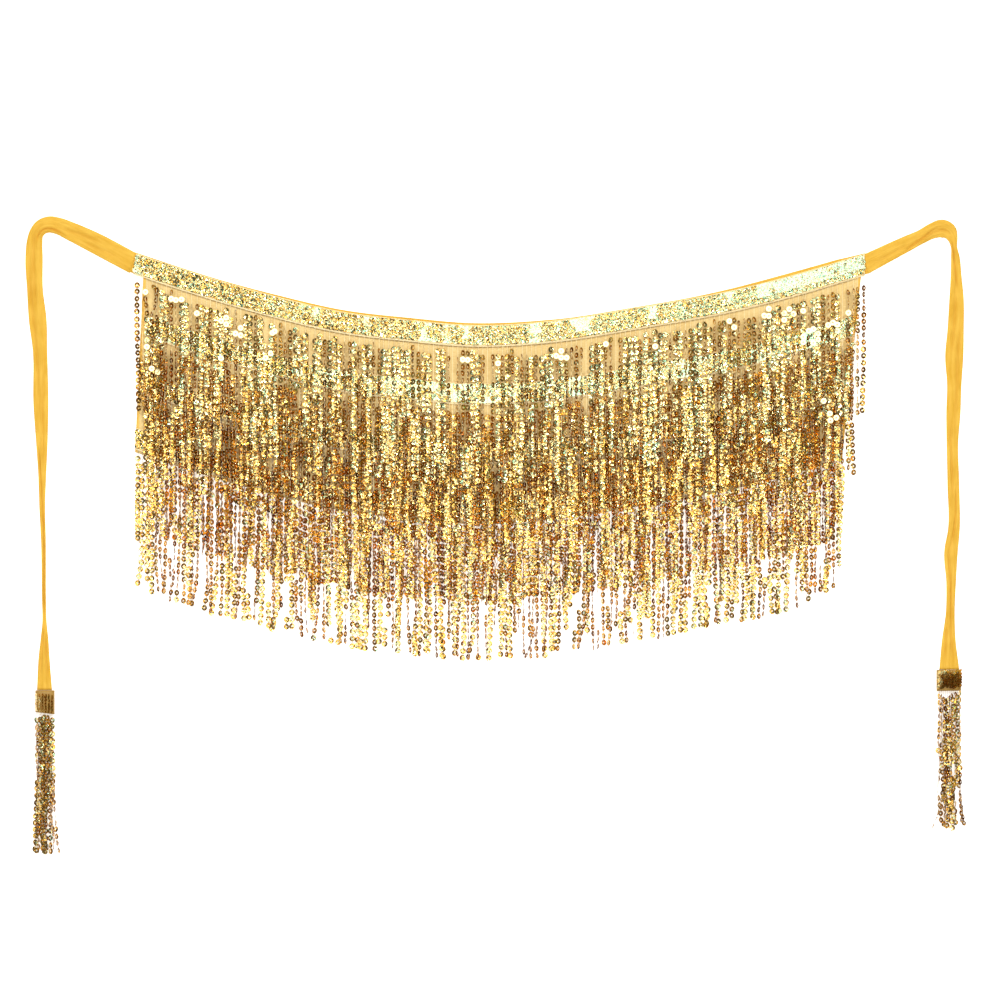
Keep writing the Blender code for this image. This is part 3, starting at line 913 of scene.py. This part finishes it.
def sew_waist_strip(material):
    """The cloth under the first band: the band's run, swept by an almost flat section.

    The upper side is soft at its edges, and small gathers ripple its top edge by the thread.
    """
    x = np.linspace(SEAM_LEFT, SEAM_RIGHT, 321)
    part = np.array([0.0, 0.04, 0.12, 0.3, 0.5, 0.7, 0.86, 0.94, 0.98, 1.0])[:, None]
    low, high = strip_edges(x)
    px, py = waist_point(x, low + (high - low) * part)
    ripple = 0.00022 * np.sin(x * TURN / 0.0117) * np.sin(x * TURN / 0.083 + 0.6)
    level = CLOTH_STRIP_THICK * rounded(part, 0.45) + ripple * part**2
    piece = build_slab("waist_strip_cloth", px, py, level, 0.0, material)
    finish_piece(piece, "waist_strip")


def distance_to_line(x, y, x0, y0, x1, y1):
    """The distance from each point to a line between two ends, and the share along the line."""
    run = (x1 - x0) ** 2 + (y1 - y0) ** 2
    part = np.clip(((x - x0) * (x1 - x0) + (y - y0) * (y1 - y0)) / run, 0, 1)
    return np.hypot(x - x0 - part * (x1 - x0), y - y0 - part * (y1 - y0)), part


def sew_panel(material):
    """The panel behind the fringe: straight runs from the waist down to the hem.

    Its puckers are soft ridges along short lines, highest at mid length, and its hems are a
    little thicker. The underside stays flat.
    """
    columns = np.linspace(0, 1, 261)
    rows = np.linspace(0, 1, 49)[:, None]
    top_x = PANEL_TOP_SIDES[0] + (PANEL_TOP_SIDES[1] - PANEL_TOP_SIDES[0]) * columns
    hem_x = PANEL_HEM_SIDES[0] + (PANEL_HEM_SIDES[1] - PANEL_HEM_SIDES[0]) * columns
    start_x, start_y = waist_point(top_x, strip_edges(top_x)[0] + SEAM_LAP)
    end_y = waist_edge(hem_x) - PANEL_DROP
    x = hem_x + (start_x - hem_x) * rows
    y = end_y + (start_y - end_y) * rows
    drop = waist_edge(x) - y
    level = np.full(x.shape, PANEL_THICK)
    for x0, drop0, x1, drop1, height, half_width in PANEL_PUCKERS:
        away, part = distance_to_line(x, drop, x0, drop0, x1, drop1)
        rise = np.sin(math.pi * (0.1 + 0.8 * part))
        level += height * np.exp(-((away / half_width) ** 2)) * rise
    side = np.minimum(x - x[:, :1], x[:, -1:] - x)
    level += 0.0005 * (1 - smooth_step(0.0025, 0.0040, side))
    level -= 0.0006 * (1 - smooth_step(0, 0.0015, side))
    piece = build_slab("skirt_panel_cloth", x, y, level, 0.0, material, {"side_distance": side})
    finish_piece(piece, "skirt_panel")


def fold_tie(node, table, creases, seam_x, outward, wall, material):
    """A tie: a flattened tube carried along its run and down to the tassel.

    At each section the upper side rises from the folded edges to the full thickness, with the
    troughs and ridges of its creases. The underside is flat. The tube is open at both ends and
    gets its wall inwards. Its first end laps a little over the waist strip, and both ends are
    square to what they join. The crease shade number of a point is how deep its troughs are
    there; it darkens the cloth's colour in the creases as painted shade.
    """
    rows = np.array(table)
    first_x, first_y = waist_point(np.array([seam_x]), np.zeros(1))
    slope = waist_slope(np.array([seam_x]))[0]
    unit = np.array([1.0, slope]) / math.hypot(1.0, slope) * outward
    rows[0, :2] = np.array([first_x[0], first_y[0]]) - unit * TIE_OVERLAP
    lengths = np.concatenate([[0], np.cumsum(np.hypot(*np.diff(rows[:, :2], axis=0).T))])
    at = np.linspace(0, lengths[-1], 221)
    x, y, width, thick = (smooth_curve(lengths, rows[:, i], at) for i in range(4))
    along = joined(np.gradient(x, at), np.gradient(y, at))
    along /= np.linalg.norm(along, axis=1, keepdims=True)
    for away, held in ((at, unit), (lengths[-1] - at, np.array([0.0, -1.0]))):
        blend = np.exp(-(away / TIE_END_TURN) ** 2)[:, None]
        along = along * (1 - blend) + held * blend
    along /= np.linalg.norm(along, axis=1, keepdims=True)
    normal = joined(-along[:, 1], along[:, 0])
    upper = np.cos(np.linspace(0, math.pi, 25))
    under = np.linspace(-0.88, 0.88, 11)
    place = np.concatenate([upper, under])
    section = at[:, None] / lengths[-1]
    rise = 0.42 + 0.58 * np.clip(1 - np.abs(upper) ** 3.5, 0, 1) ** 0.5
    level = thick[:, None] * rise
    inside = upper * (1 if outward < 0 else -1)
    fold = np.zeros_like(level)
    for start_share, end_share, from_place, to_place, height, half_width in creases:
        part = np.clip((section - start_share) / (end_share - start_share), 0, 1)
        middle = from_place + (to_place - from_place) * part
        fade = smooth_step(0, 0.3, part) * (1 - smooth_step(0.7, 1.0, part))
        crease = height * fade * np.exp(-(((inside - middle) / half_width) ** 2))
        level = level + CREASE_DEPTH * crease
        # The crease shade is painted shade: it darkens the colour where a trough is deep.
        fold = fold + np.maximum(-crease, 0) / CREASE_SHADE_DEPTH
    level = np.maximum(level, 0.0009)
    under_side = np.zeros((len(at), len(under)))
    level = np.concatenate([level, under_side], axis=1)
    fold = np.concatenate([np.clip(fold, 0, 1), under_side], axis=1)
    offset = place * width[:, None] / 2
    points = joined(
        x[:, None] + normal[:, :1] * offset, y[:, None] + normal[:, 1:] * offset, level
    )
    around = len(place)
    index = np.arange(len(at) * around).reshape(len(at), around)
    near, far = index[:-1], index[1:]
    faces = joined(near, np.roll(near, -1, 1), np.roll(far, -1, 1), far).reshape(-1, 4)
    uv = joined(offset, at[:, None]).reshape(-1, 2)
    piece = build_mesh(f"{node}_cloth", points.reshape(-1, 3), faces, material, True, uv,
                       point_values={"fold": fold})
    shell = piece.modifiers.new("wall", "SOLIDIFY")
    shell.thickness = wall
    shell.offset = -1.0
    finish_piece(piece, node)


# Trim


def lay_tape(name, material, start, end, number):
    """The tape of one band: a thin slab along the band, soft at its edges.

    The left end of the first tape slants, because it is folded under there.
    """
    part = np.array([0.0, 0.03, 0.1, 0.3, 0.5, 0.7, 0.9, 0.97, 1.0])[:, None]
    slant = FIRST_TAPE_SLANT * (part - 0.6) if number == 0 else np.zeros_like(part)
    x = start + slant + (end - start - slant) * np.linspace(0, 1, 241)
    y = tier_edge(x, number) + BAND_HEIGHT * part
    base = band_base(number)
    return build_slab(name, x, y, base + TRIM_THICK * rounded(part, 0.3), base, material)


def band_rows(draws, sizes, start, end, number):
    """Centres, axes and flatness of the sequins on a band: rows that lap like tiles.

    Each sequin leans on the one before it. In the named stretches, and in a few short ones by
    chance, they lie flat.
    """
    half = sizes.sequin / 2
    pitch = sizes.row_pitch * (1.0 if number < 2 else 1.3)
    each = int((end - start - sizes.sequin) / pitch) + 1
    rise = np.linspace(0, 1, sizes.rows)[:, None]
    first = start + half + (FIRST_TAPE_SLANT * (rise - 0.6) if number == 0 else 0.0)
    along = first + (end - half - first) * np.linspace(0, 1, each)
    across = half + 0.0018 + (BAND_HEIGHT - 2 * half - 0.0028) * rise
    shift = pitch / 2 * (np.arange(sizes.rows) % 2 - 0.5)
    x = along + shift[:, None] + draws.normal(0, 0.00025, along.shape)
    x = np.clip(x, first - half * 0.4, end - half * 0.6)
    y = tier_edge(x, number) + across + draws.normal(0, 0.00025, x.shape)
    flat = draws.uniform(0, 1, x.shape) < 0.02
    for low, high, rows_share in FLAT_STRETCHES[number] if number < 2 else ():
        ragged = draws.normal(0, 0.0012, x.shape)
        inside = (x + ragged > low) & (x + ragged < high) & (rise >= 1 - rows_share)
        flat |= inside & (draws.uniform(0, 1, x.shape) < (0.93 if number == 0 else 0.70))
    loose = 1 - 0.85 * flat
    lean = (math.radians(4.5) + draws.normal(0, math.radians(2.8), x.shape)) * loose
    tip = (math.radians(4) + draws.normal(0, math.radians(2.8), x.shape)) * loose
    lift = half * (np.abs(np.sin(lean)) + np.abs(np.sin(tip)))
    level = band_base(number) + TRIM_THICK + 0.0004 + lift
    centres = joined(x, y, level).reshape(-1, 3)
    slope = waist_slope(x).ravel()
    upward = joined(-slope, 1.0, 0.0)
    spin = draws.uniform(0, TURN, len(centres))
    return centres, sequin_axes(upward, lean.ravel(), tip.ravel(), spin), flat.ravel()


def string_loops(draws, sizes, start, end, number):
    """Numbers that set the lie of each string of a tier: where it hangs, sways, twists and ends."""
    loops = sizes.loops if number < 2 else sizes.lower_loops
    strings = 2 * loops
    pitch = (end - start) / loops
    side = np.tile([-1.0, 1.0], loops)
    middle = np.repeat(start + (np.arange(loops) + 0.5) * pitch, 2)
    drift = np.repeat(draws.normal(0, 0.0016, loops), 2)
    crossing = (draws.uniform(0, 1, strings) < CROSSING_SHARE) & (np.abs(middle) < 0.37)
    drift += draws.normal(0, 0.006, strings) * crossing
    reach = np.repeat(draws.normal(0, 0.0022, loops), 2) + draws.normal(0, 0.0006, strings)
    lie = {
        "root": middle + side * pitch / 4 + draws.normal(0, 0.0004, strings),
        "foot": middle + drift + side * 0.0027,
        "reach": LOOP_DROP - 0.001 + np.clip(reach, -0.006, 0.0025),
        "sway": draws.normal(0, 0.0007, strings),
        "wave": draws.uniform(0.05, 0.13, strings),
        "phase": draws.uniform(0, TURN, strings),
        "kick": draws.normal(0, 0.10, strings) * (draws.uniform(0, 1, strings) < 0.5),
        "ply": draws.uniform(0, 0.0009, strings),
        "tone": np.zeros(strings),
        # The edge shade darkens the film of sequins that turn on edge: painted shade.
        "edge_shade": 0.52 if number == 3 else 0.38,
    }
    if number == 3:
        lie["reach"] = lie["reach"] - 0.009 * smooth_step(0.325, 0.365, middle)
    flat_turn = draws.normal(0, math.radians(8), (2, strings))
    half_turn = draws.choice([-1, 1], (2, strings)) * draws.uniform(0.6, 1.05, (2, strings))
    edge_turn = draws.choice([-1, 1], (2, strings)) * draws.uniform(1.0, 1.3, (2, strings))
    kind = draws.uniform(0, 1, (2, strings))
    # Towards the left of the upper three tiers more strings are turned away. The first loop of
    # each tier faces up.
    if number < 3:
        kind += 0.12 * (middle < -0.12)
    kind[:, :2] = 0.0
    # On the first tier the first loop and the last string are coppery, and that string hangs a
    # little apart.
    if number == 0:
        lie["root"][-1] += 0.002
        lie["foot"][-1] += 0.001
        lie["tone"][[0, 1, -1]] = 0.36
    turned_away = np.where(kind < HALF_FACING_SHARE, half_turn, edge_turn)
    lie["turn"] = np.where(kind < FACING_SHARE, flat_turn, turned_away)
    lie["turn_at"] = draws.uniform(0.03, 0.15, strings)
    lie["turn_wave"] = draws.uniform(0.03, 0.07, strings)
    return lie


def along_strings(lie, run, t, lower):
    """Where each string is, and its twist, at distances t down it from the band's edge.

    Each string goes smoothly from its root to its foot and sways by a sine. Its height follows
    the layers under it, and a twisted stretch is lifted so that its sequins clear what is below.
    """
    def each(key):
        return lie[key][:, None]

    part = np.clip(t / each("reach"), 0, 1)
    x = each("root") + (each("foot") - each("root")) * part**2.5
    x = x + each("sway") * np.sin(t * TURN / each("wave") + each("phase")) * part
    x = x + each("kick") * np.maximum(t - each("reach") + 0.026, 0)
    y = lower(each("root")) - t
    for middle, height, half_width, half_height in PARTINGS:
        aside = half_width * np.clip(1 - ((y - height) / half_height) ** 2, 0, 1)
        x = x + np.sign(x - middle) * np.maximum(aside - np.abs(x - middle), 0)
    run = np.array(run)
    level = np.interp(t, run[:, 0], run[:, 1])
    first, second = lie["turn"][:, :, None]
    twist = first + (second - first) * smooth_step(-0.012, 0.012, t - each("turn_at"))
    sway = 0.10 + 0.16 * np.minimum(np.abs(twist), 1)
    twist = twist + sway * np.sin(t * TURN / each("turn_wave") + each("phase"))
    twist = np.clip(twist, -1.5, 1.5)
    level = level + 0.0008 + each("ply") + 0.0029 * np.abs(np.sin(twist))
    return x, y, level, twist


def string_threads(name, material, lie, run, lower, sizes):
    """The threads of the strings: they pass under flat sequins and through those on edge."""
    down = np.linspace(-0.001, 1.0, 17) * lie["reach"][:, None]
    x, y, level, twist = along_strings(lie, run, down, lower)
    level = level - 0.0006 * np.cos(twist)
    points, faces = thread_tubes(joined(x, y, level), sizes.thread / 2)
    return build_mesh(name, points, faces, material)


def string_sequins(draws, sizes, lie, run, lower, bare_share, bare, plain_share=0.0, spots=()):
    """Centres, axes, flatness and tone of every sequin on the strings.

    They sit a pitch apart from the foot upwards, as far as the bare length under the band. On
    some strings a few are missing or have slid up, which leaves bare thread, and a plain string
    has sequins only near its foot. At the spots they lie flat. The film of those on edge is
    darkened towards copper: painted shade for the dark reflection of a sequin turned on edge.
    """
    strings = len(lie["root"])
    fits = int((lie["reach"].max() - bare) / sizes.pitch) + 1
    order = np.arange(fits)
    t = lie["reach"][:, None] - 0.0015 - (fits - 1 - order) * sizes.pitch
    t = t + draws.normal(0, 0.00035, t.shape)
    slid = (draws.uniform(0, 1, strings) < bare_share * 0.5)[:, None]
    slide = draws.uniform(0.010, 0.030, (strings, 1)) * slid
    t = t - slide * smooth_step(0.03, 0.15, t)
    kept = t > bare + draws.uniform(-0.0015, 0.003, (strings, 1))
    plain = (draws.uniform(0, 1, strings) < plain_share)[:, None]
    kept &= ~plain | (t > draws.uniform(0.05, 0.11, (strings, 1)))
    gap = (draws.uniform(0, 1, strings) < bare_share)[:, None]
    gap_start = draws.integers(fits - 11, fits - 2, (strings, 1))
    gap_length = draws.integers(1, 5 if bare_share < 0.2 else 9, (strings, 1))
    kept &= ~(gap & (order >= gap_start) & (order < gap_start + gap_length))
    x, y, level, twist = along_strings(lie, run, t, lower)
    ahead = along_strings(lie, run, t - 0.002, lower)
    along = joined(ahead[0] - x, ahead[1] - y, 0.0)
    centres = joined(x, y, level)
    tip = draws.normal(0, math.radians(6), t.shape)
    # Sequins on edge are moved towards copper by the edge shade: painted shade.
    tone = lie["tone"][:, None] + lie["edge_shade"] * smooth_step(0.7, 1.1, np.abs(twist))
    twist = twist + draws.normal(0, math.radians(6), t.shape)
    flat = np.zeros(t.shape, dtype=bool)
    for spot_x, spot_y, radius in spots:
        flat |= np.hypot(x - spot_x, y - spot_y) < radius
    flat &= draws.uniform(0, 1, t.shape) < 0.6
    tip = np.where(flat, tip * 0.1, tip)
    twist = np.where(flat, draws.normal(0, math.radians(1.5), t.shape), twist)
    centres[..., 2] += sizes.sequin / 2 * np.abs(np.sin(tip)) + 0.0022 * flat
    spin = draws.uniform(0, TURN, t.shape)
    axes = sequin_axes(along[kept], twist[kept], tip[kept], spin[kept])
    return centres[kept], axes, flat[kept], tone[kept]


def sequin_knots(name, material, draws, centres, sizes):
    """The thread seen in the holes of sequins: small grains with eight faces, each of its size."""
    corners = np.array([
        (0.0006, 0, 0), (0, 0.0004, 0), (-0.0006, 0, 0), (0, -0.0004, 0),
        (0, 0, 0.0002), (0, 0, -0.0002),
    ])
    around = np.arange(4)
    after = (around + 1) % 4
    faces = np.concatenate([
        joined(around, after, 4), joined(after, around, 5),
    ])
    turn = draws.uniform(0, TURN, len(centres))
    cosine, sine = (sizes * np.cos(turn))[:, None], (sizes * np.sin(turn))[:, None]
    x = centres[:, :1] + corners[:, 0] * cosine - corners[:, 1] * sine
    y = centres[:, 1:2] + corners[:, 0] * sine + corners[:, 1] * cosine
    level = centres[:, 2:] + 0.0004 + corners[:, 2]
    points = joined(x, y, level).reshape(-1, 3)
    all_faces = faces[None] + 6 * np.arange(len(centres))[:, None, None]
    return build_mesh(name, points, all_faces.reshape(-1, 3), material)


def hang_tier(number, sizes, materials):
    """One tier: its tape, the sequins on it, the edge stitches, the threads and their sequins."""
    tier = number + 1
    start, end, run = TIERS[number]
    draws = np.random.default_rng(4100 + number)
    tape = lay_tape(f"trim_tape_{tier}", materials["cream_tape"], start, end, number)
    disc = ring_shape(sizes.sequin, BAND_HOLE, BAND_CUP, sizes.film)
    band_centres, axes, flat = band_rows(draws, sizes, start, end, number)
    band = sequin_mesh(
        f"band_sequins_{tier}", materials["band_film" if number < 2 else "pale_gold_film"],
        draws, disc, (band_centres, axes, flat, np.zeros(len(flat))), 2 * sizes.crinkle, 0.5, 0.12,
    )

    def lower(x):
        return tier_edge(x, number)

    lie = string_loops(draws, sizes, start, end, number)
    cup = ring_shape(sizes.sequin, sizes.hole, sizes.cup, sizes.film)
    placed = string_sequins(
        draws, sizes, lie, run, lower, bare_share=0.30 if number == 3 else 0.14, bare=sizes.bare,
        plain_share=0.05 if number < 2 else 0.0, spots=FLAT_SPOTS if number == 0 else (),
    )
    strung = sequin_mesh(
        f"loop_sequins_{tier}", materials["pale_gold_film" if number == 0 else "gold_film"],
        draws, cup, placed, sizes.crinkle, 0.15,
    )
    thread = materials["cream_thread" if number < 2 else "grey_thread"]
    threads = string_threads(f"loop_threads_{tier}", thread, lie, run, lower, sizes)
    stitches = edge_stitches(
        f"edge_stitches_{tier}", materials["cream_thread"], start, end, number
    )
    pieces = [tape, band, stitches, threads, strung]
    if number < 2:
        flat_centres = placed[0][placed[2]]
        pieces.append(sequin_knots(
            f"sequin_knots_{tier}", materials["peach_thread"], draws,
            np.concatenate([band_centres, flat_centres]),
            np.repeat([1.0, 1.6], [len(band_centres), len(flat_centres)]),
        ))
    for piece in pieces:
        finish_piece(piece, f"fringe_tier_{tier}")


def edge_stitches(name, material, start, end, number):
    """A row of short slanting stitches along a band's lower edge: one small tube for each.

    Each goes from the tape down over its edge, and all are flattened towards the tape.
    """
    x = np.arange(start + 0.001, end - 0.001, STITCH_PITCH)
    base = band_base(number) + TRIM_THICK
    y = tier_edge(x, number)
    ends = [joined(x + aside, y + up, base - below) for aside, up, below in STITCH]
    points, faces = thread_tubes(np.stack(ends, axis=1), STITCH_RADIUS, 6)
    points[:, 2] = base + 0.4 * (points[:, 2] - base)
    return build_mesh(name, points, faces, material)


# Tassels


def wind_head(name, material, left, right, top, low_left, low_right):
    """A tassel's head: the tape wound round the end of the tie, as a slab with soft edges."""
    part = np.linspace(0, 1, 17)
    rise = np.linspace(0, 1, 15)[:, None]
    low = low_left + (low_right - low_left) * part
    level = TASSEL_THICK * rounded(part, 0.35) * rounded(rise, 0.8)
    return build_slab(name, left + (right - left) * part, low + (top - low) * rise, level, 0.0,
                      material)


def head_sequins(draws, left, right, low_left, low_right, number, slant):
    """Centres and axes of the columns of sequins that stand on a tassel's head.

    Each column climbs by even steps. With a slant the steps also rise across each half of the
    head and start again at its foot, so that two blocks of slanting strokes meet in the middle.
    """
    columns = np.linspace(left + 0.0018, right - 0.0018, number)
    steps = np.arange(HEAD_ROWS) * HEAD_STEP
    low = low_left + (low_right - low_left) * (columns - left) / (right - left)
    middle = (left + right) / 2
    block = np.where(columns < middle, left, middle)
    x = np.tile(columns, (HEAD_ROWS, 1)) + draws.normal(0, 0.00015, (HEAD_ROWS, number))
    climb = (steps[:, None] + slant * (columns - block)) % (HEAD_ROWS * HEAD_STEP)
    y = low + HEAD_STEP + climb + draws.normal(0, 0.0002, x.shape)
    lean = draws.normal(math.radians(57), math.radians(4), x.shape)
    tip = draws.normal(0, math.radians(9), x.shape)
    level = TASSEL_THICK + 0.0006 + 0.0016 * np.abs(np.sin(lean))
    centres = joined(x, y, level).reshape(-1, 3)
    upward = np.tile([1.0, slant, 0.0] if slant else [0.0, 1.0, 0.0], (len(centres), 1))
    spin = draws.uniform(0, TURN, len(centres))
    return centres, sequin_axes(upward, lean.ravel(), tip.ravel(), spin)


def make_tassel(row, sizes, materials):
    """A tassel: its wound head with columns of sequins on edge, and its strung threads.

    The strings spread a little from their roots to their feet and lie in layers on each other.
    """
    side, left, right, top, low_left, low_right, reach, spread, number, slant, seed = row
    node = f"tassel_{side}"
    draws = np.random.default_rng(seed)
    head = wind_head(
        f"{node}_tape", materials["gold_thread"], left, right, top, low_left, low_right
    )
    centres, axes = head_sequins(draws, left, right, low_left, low_right, number, slant)
    flat = np.zeros(len(centres), dtype=bool)
    caps = sequin_mesh(
        f"{node}_head_sequins", materials["dark_gold_film"], draws,
        ring_shape(HEAD_SEQUIN, HEAD_HOLE, HEAD_CUP, sizes.film),
        (centres, axes, flat, np.zeros(len(flat))), sizes.crinkle, 1.0,
    )
    strings = sizes.tassel_strings
    share_across = (np.arange(strings) + 0.5) / strings
    root = left + (right - left) * (0.05 + 0.90 * share_across)
    root_y = low_left + (low_right - low_left) * share_across
    centre = (left + right) / 2
    lie = {
        "root": root,
        "foot": centre + (root - centre) * (1 + spread) + draws.normal(0, 0.0020, strings),
        "reach": reach - 0.0015 + np.clip(draws.normal(-0.002, 0.003, strings), -0.008, 0.0),
        "sway": draws.normal(0, 0.0013, strings),
        "wave": draws.uniform(0.04, 0.11, strings),
        "phase": draws.uniform(0, TURN, strings),
        "kick": draws.normal(0, 0.08, strings),
        "ply": draws.permutation(strings) / strings * 0.0042,
        "turn": draws.choice([-1, 1], (2, strings)) * draws.uniform(0.2, 1.35, (2, strings)),
        "turn_at": draws.uniform(0.03, 0.13, strings),
        "turn_wave": draws.uniform(0.03, 0.07, strings),
        "tone": np.zeros(strings),
        # The edge shade darkens the film of sequins that turn on edge: painted shade.
        "edge_shade": 0.38,
    }

    def lower(x):
        return np.interp(x, root, root_y)

    cup = ring_shape(sizes.sequin, sizes.hole, sizes.cup, sizes.film)
    placed = string_sequins(draws, sizes, lie, TASSEL_RUN, lower, bare_share=0.1, bare=0.003)
    strung = sequin_mesh(
        f"{node}_sequins", materials["dark_gold_film"], draws, cup, placed, sizes.crinkle, 1.0
    )
    threads = string_threads(
        f"{node}_threads", materials["grey_thread"], lie, TASSEL_RUN, lower, sizes
    )
    for piece in (head, caps, threads, strung):
        finish_piece(piece, node)


# Stage


def area_light(name, x, y, z, width, depth, watts, tilt):
    """A soft light that looks down, tilted round the x axis by degrees."""
    light = bpy.data.lights.new(name, "AREA")
    light.shape = "RECTANGLE"
    light.size, light.size_y = width, depth
    light.energy = watts
    holder = bpy.data.objects.new(name, light)
    holder.location = (x, y, z)
    holder.rotation_euler = (math.radians(tilt), 0.0, 0.0)
    holder.visible_camera = False
    bpy.context.scene.collection.objects.link(holder)


def set_stage(settings):
    """The floor, the room's light, five soft lights and the camera straight above."""
    scene = bpy.context.scene
    material, tree, shader = new_material(
        "pale_floor", Roughness=0.9, Specular_IOR_Level=0.1,
        Emission_Color=(1.0, 0.97, 0.90, 1.0), Emission_Strength=settings.glow,
    )
    patches = noise(tree, "Object", (3.0, 3.0, 3.0), 2.0)
    shade = tuple(settings.floor)
    base = ramp(tree, patches, ((0.3, tuple(part * 0.995 for part in shade)), (0.7, shade)))
    link(tree, base, shader.inputs["Base Color"])
    corners = np.array([(-1, -1), (1, -1), (1, 1), (-1, 1)]) * FLOOR_HALF
    points = joined(corners[:, 0], corners[:, 1], FLOOR_LEVEL)
    build_mesh("floor", points, np.arange(4)[None], material)
    world = bpy.data.worlds.new("room")
    world.use_nodes = True
    set_inputs(world.node_tree.nodes["Background"], Color=(1.0, 0.82, 0.60, 1.0),
               Strength=settings.room)
    scene.world = world
    for name, x, y, z, width, depth, lamp, tilt in LIGHTS:
        area_light(name, x, y, z, width, depth, getattr(settings, lamp) * 1000, tilt)
    camera = bpy.data.cameras.new("camera")
    camera.sensor_width = SENSOR_WIDTH
    camera.lens = SENSOR_WIDTH * settings.height / VIEW_WIDTH
    camera.clip_start = 0.05
    camera.clip_end = 50.0
    holder = bpy.data.objects.new("camera", camera)
    holder.location = (*VIEW_CENTRE, settings.height)
    scene.collection.objects.link(holder)
    scene.camera = holder
    scene.view_settings.view_transform = "Standard"


# Operators


class BELT_OT_stage(bpy.types.Operator):
    """Set the floor, the lights and the camera"""

    bl_idname = "belt.stage"
    bl_label = "Set the stage"

    def execute(self, context):
        set_stage(context.scene.belt_stage)
        return {"FINISHED"}


class BELT_OT_cloth(bpy.types.Operator):
    """Sew the waist strip and the panel behind the fringe"""

    bl_idname = "belt.cloth"
    bl_label = "Sew the strip and the panel"

    def execute(self, context):
        colours, sizes = context.scene.belt_colours, context.scene.belt_cloth
        sew_waist_strip(yellow_knit(context))
        sew_panel(panel_material("gold_twill", colours, sizes.hem))
        return {"FINISHED"}


class BELT_OT_ties(bpy.types.Operator):
    """Fold the two ties"""

    bl_idname = "belt.ties"
    bl_label = "Fold the ties"

    def execute(self, context):
        yellow, wall = yellow_knit(context), context.scene.belt_cloth.wall
        fold_tie("tie_left", LEFT_TIE, LEFT_TIE_CREASES, SEAM_LEFT, -1, wall, yellow)
        fold_tie("tie_right", RIGHT_TIE, RIGHT_TIE_CREASES, SEAM_RIGHT, 1, wall, yellow)
        return {"FINISHED"}


class BELT_OT_tiers(bpy.types.Operator):
    """Hang the four tiers of looped sequin fringe"""

    bl_idname = "belt.tiers"
    bl_label = "Hang the fringe"

    def execute(self, context):
        materials = trim_materials(context.scene.belt_colours)
        for number in range(len(TIERS)):
            hang_tier(number, context.scene.belt_trim, materials)
        return {"FINISHED"}


class BELT_OT_tassels(bpy.types.Operator):
    """Make the tassel at the end of each tie"""

    bl_idname = "belt.tassels"
    bl_label = "Make the tassels"

    def execute(self, context):
        materials = trim_materials(context.scene.belt_colours)
        for row in TASSELS:
            make_tassel(row, context.scene.belt_trim, materials)
        return {"FINISHED"}


class BELT_PT_panel(bpy.types.Panel):
    """Steps and settings of the hip belt"""

    bl_idname = "BELT_PT_panel"
    bl_label = "Hip belt"
    bl_space_type = "VIEW_3D"
    bl_region_type = "UI"
    bl_category = "Hip belt"

    def draw(self, context):
        for operator in OPERATORS:
            self.layout.operator(operator.bl_idname)
        for name, _ in GROUPS:
            box = self.layout.box()
            group = getattr(context.scene, name)
            for key in group.__annotations__:
                box.prop(group, key)


GROUPS = (
    ("belt_trim", TrimSizes), ("belt_cloth", ClothSizes), ("belt_colours", BeltColours),
    ("belt_stage", StageSettings),
)
OPERATORS = (BELT_OT_stage, BELT_OT_cloth, BELT_OT_ties, BELT_OT_tiers, BELT_OT_tassels)


def register():
    """Registers the settings, the operators and the panel."""
    for name, group in GROUPS:
        bpy.utils.register_class(group)
        setattr(bpy.types.Scene, name, bpy.props.PointerProperty(type=group))
    for item in (*OPERATORS, BELT_PT_panel):
        bpy.utils.register_class(item)


def unregister():
    """Takes away what register added."""
    for item in (BELT_PT_panel, *reversed(OPERATORS)):
        bpy.utils.unregister_class(item)
    for name, group in reversed(GROUPS):
        delattr(bpy.types.Scene, name)
        bpy.utils.unregister_class(group)


def main():
    """Makes every piece in order."""
    register()
    bpy.ops.belt.stage()
    bpy.ops.belt.cloth()
    bpy.ops.belt.ties()
    bpy.ops.belt.tiers()
    bpy.ops.belt.tassels()


if __name__ == "__main__":
    main()
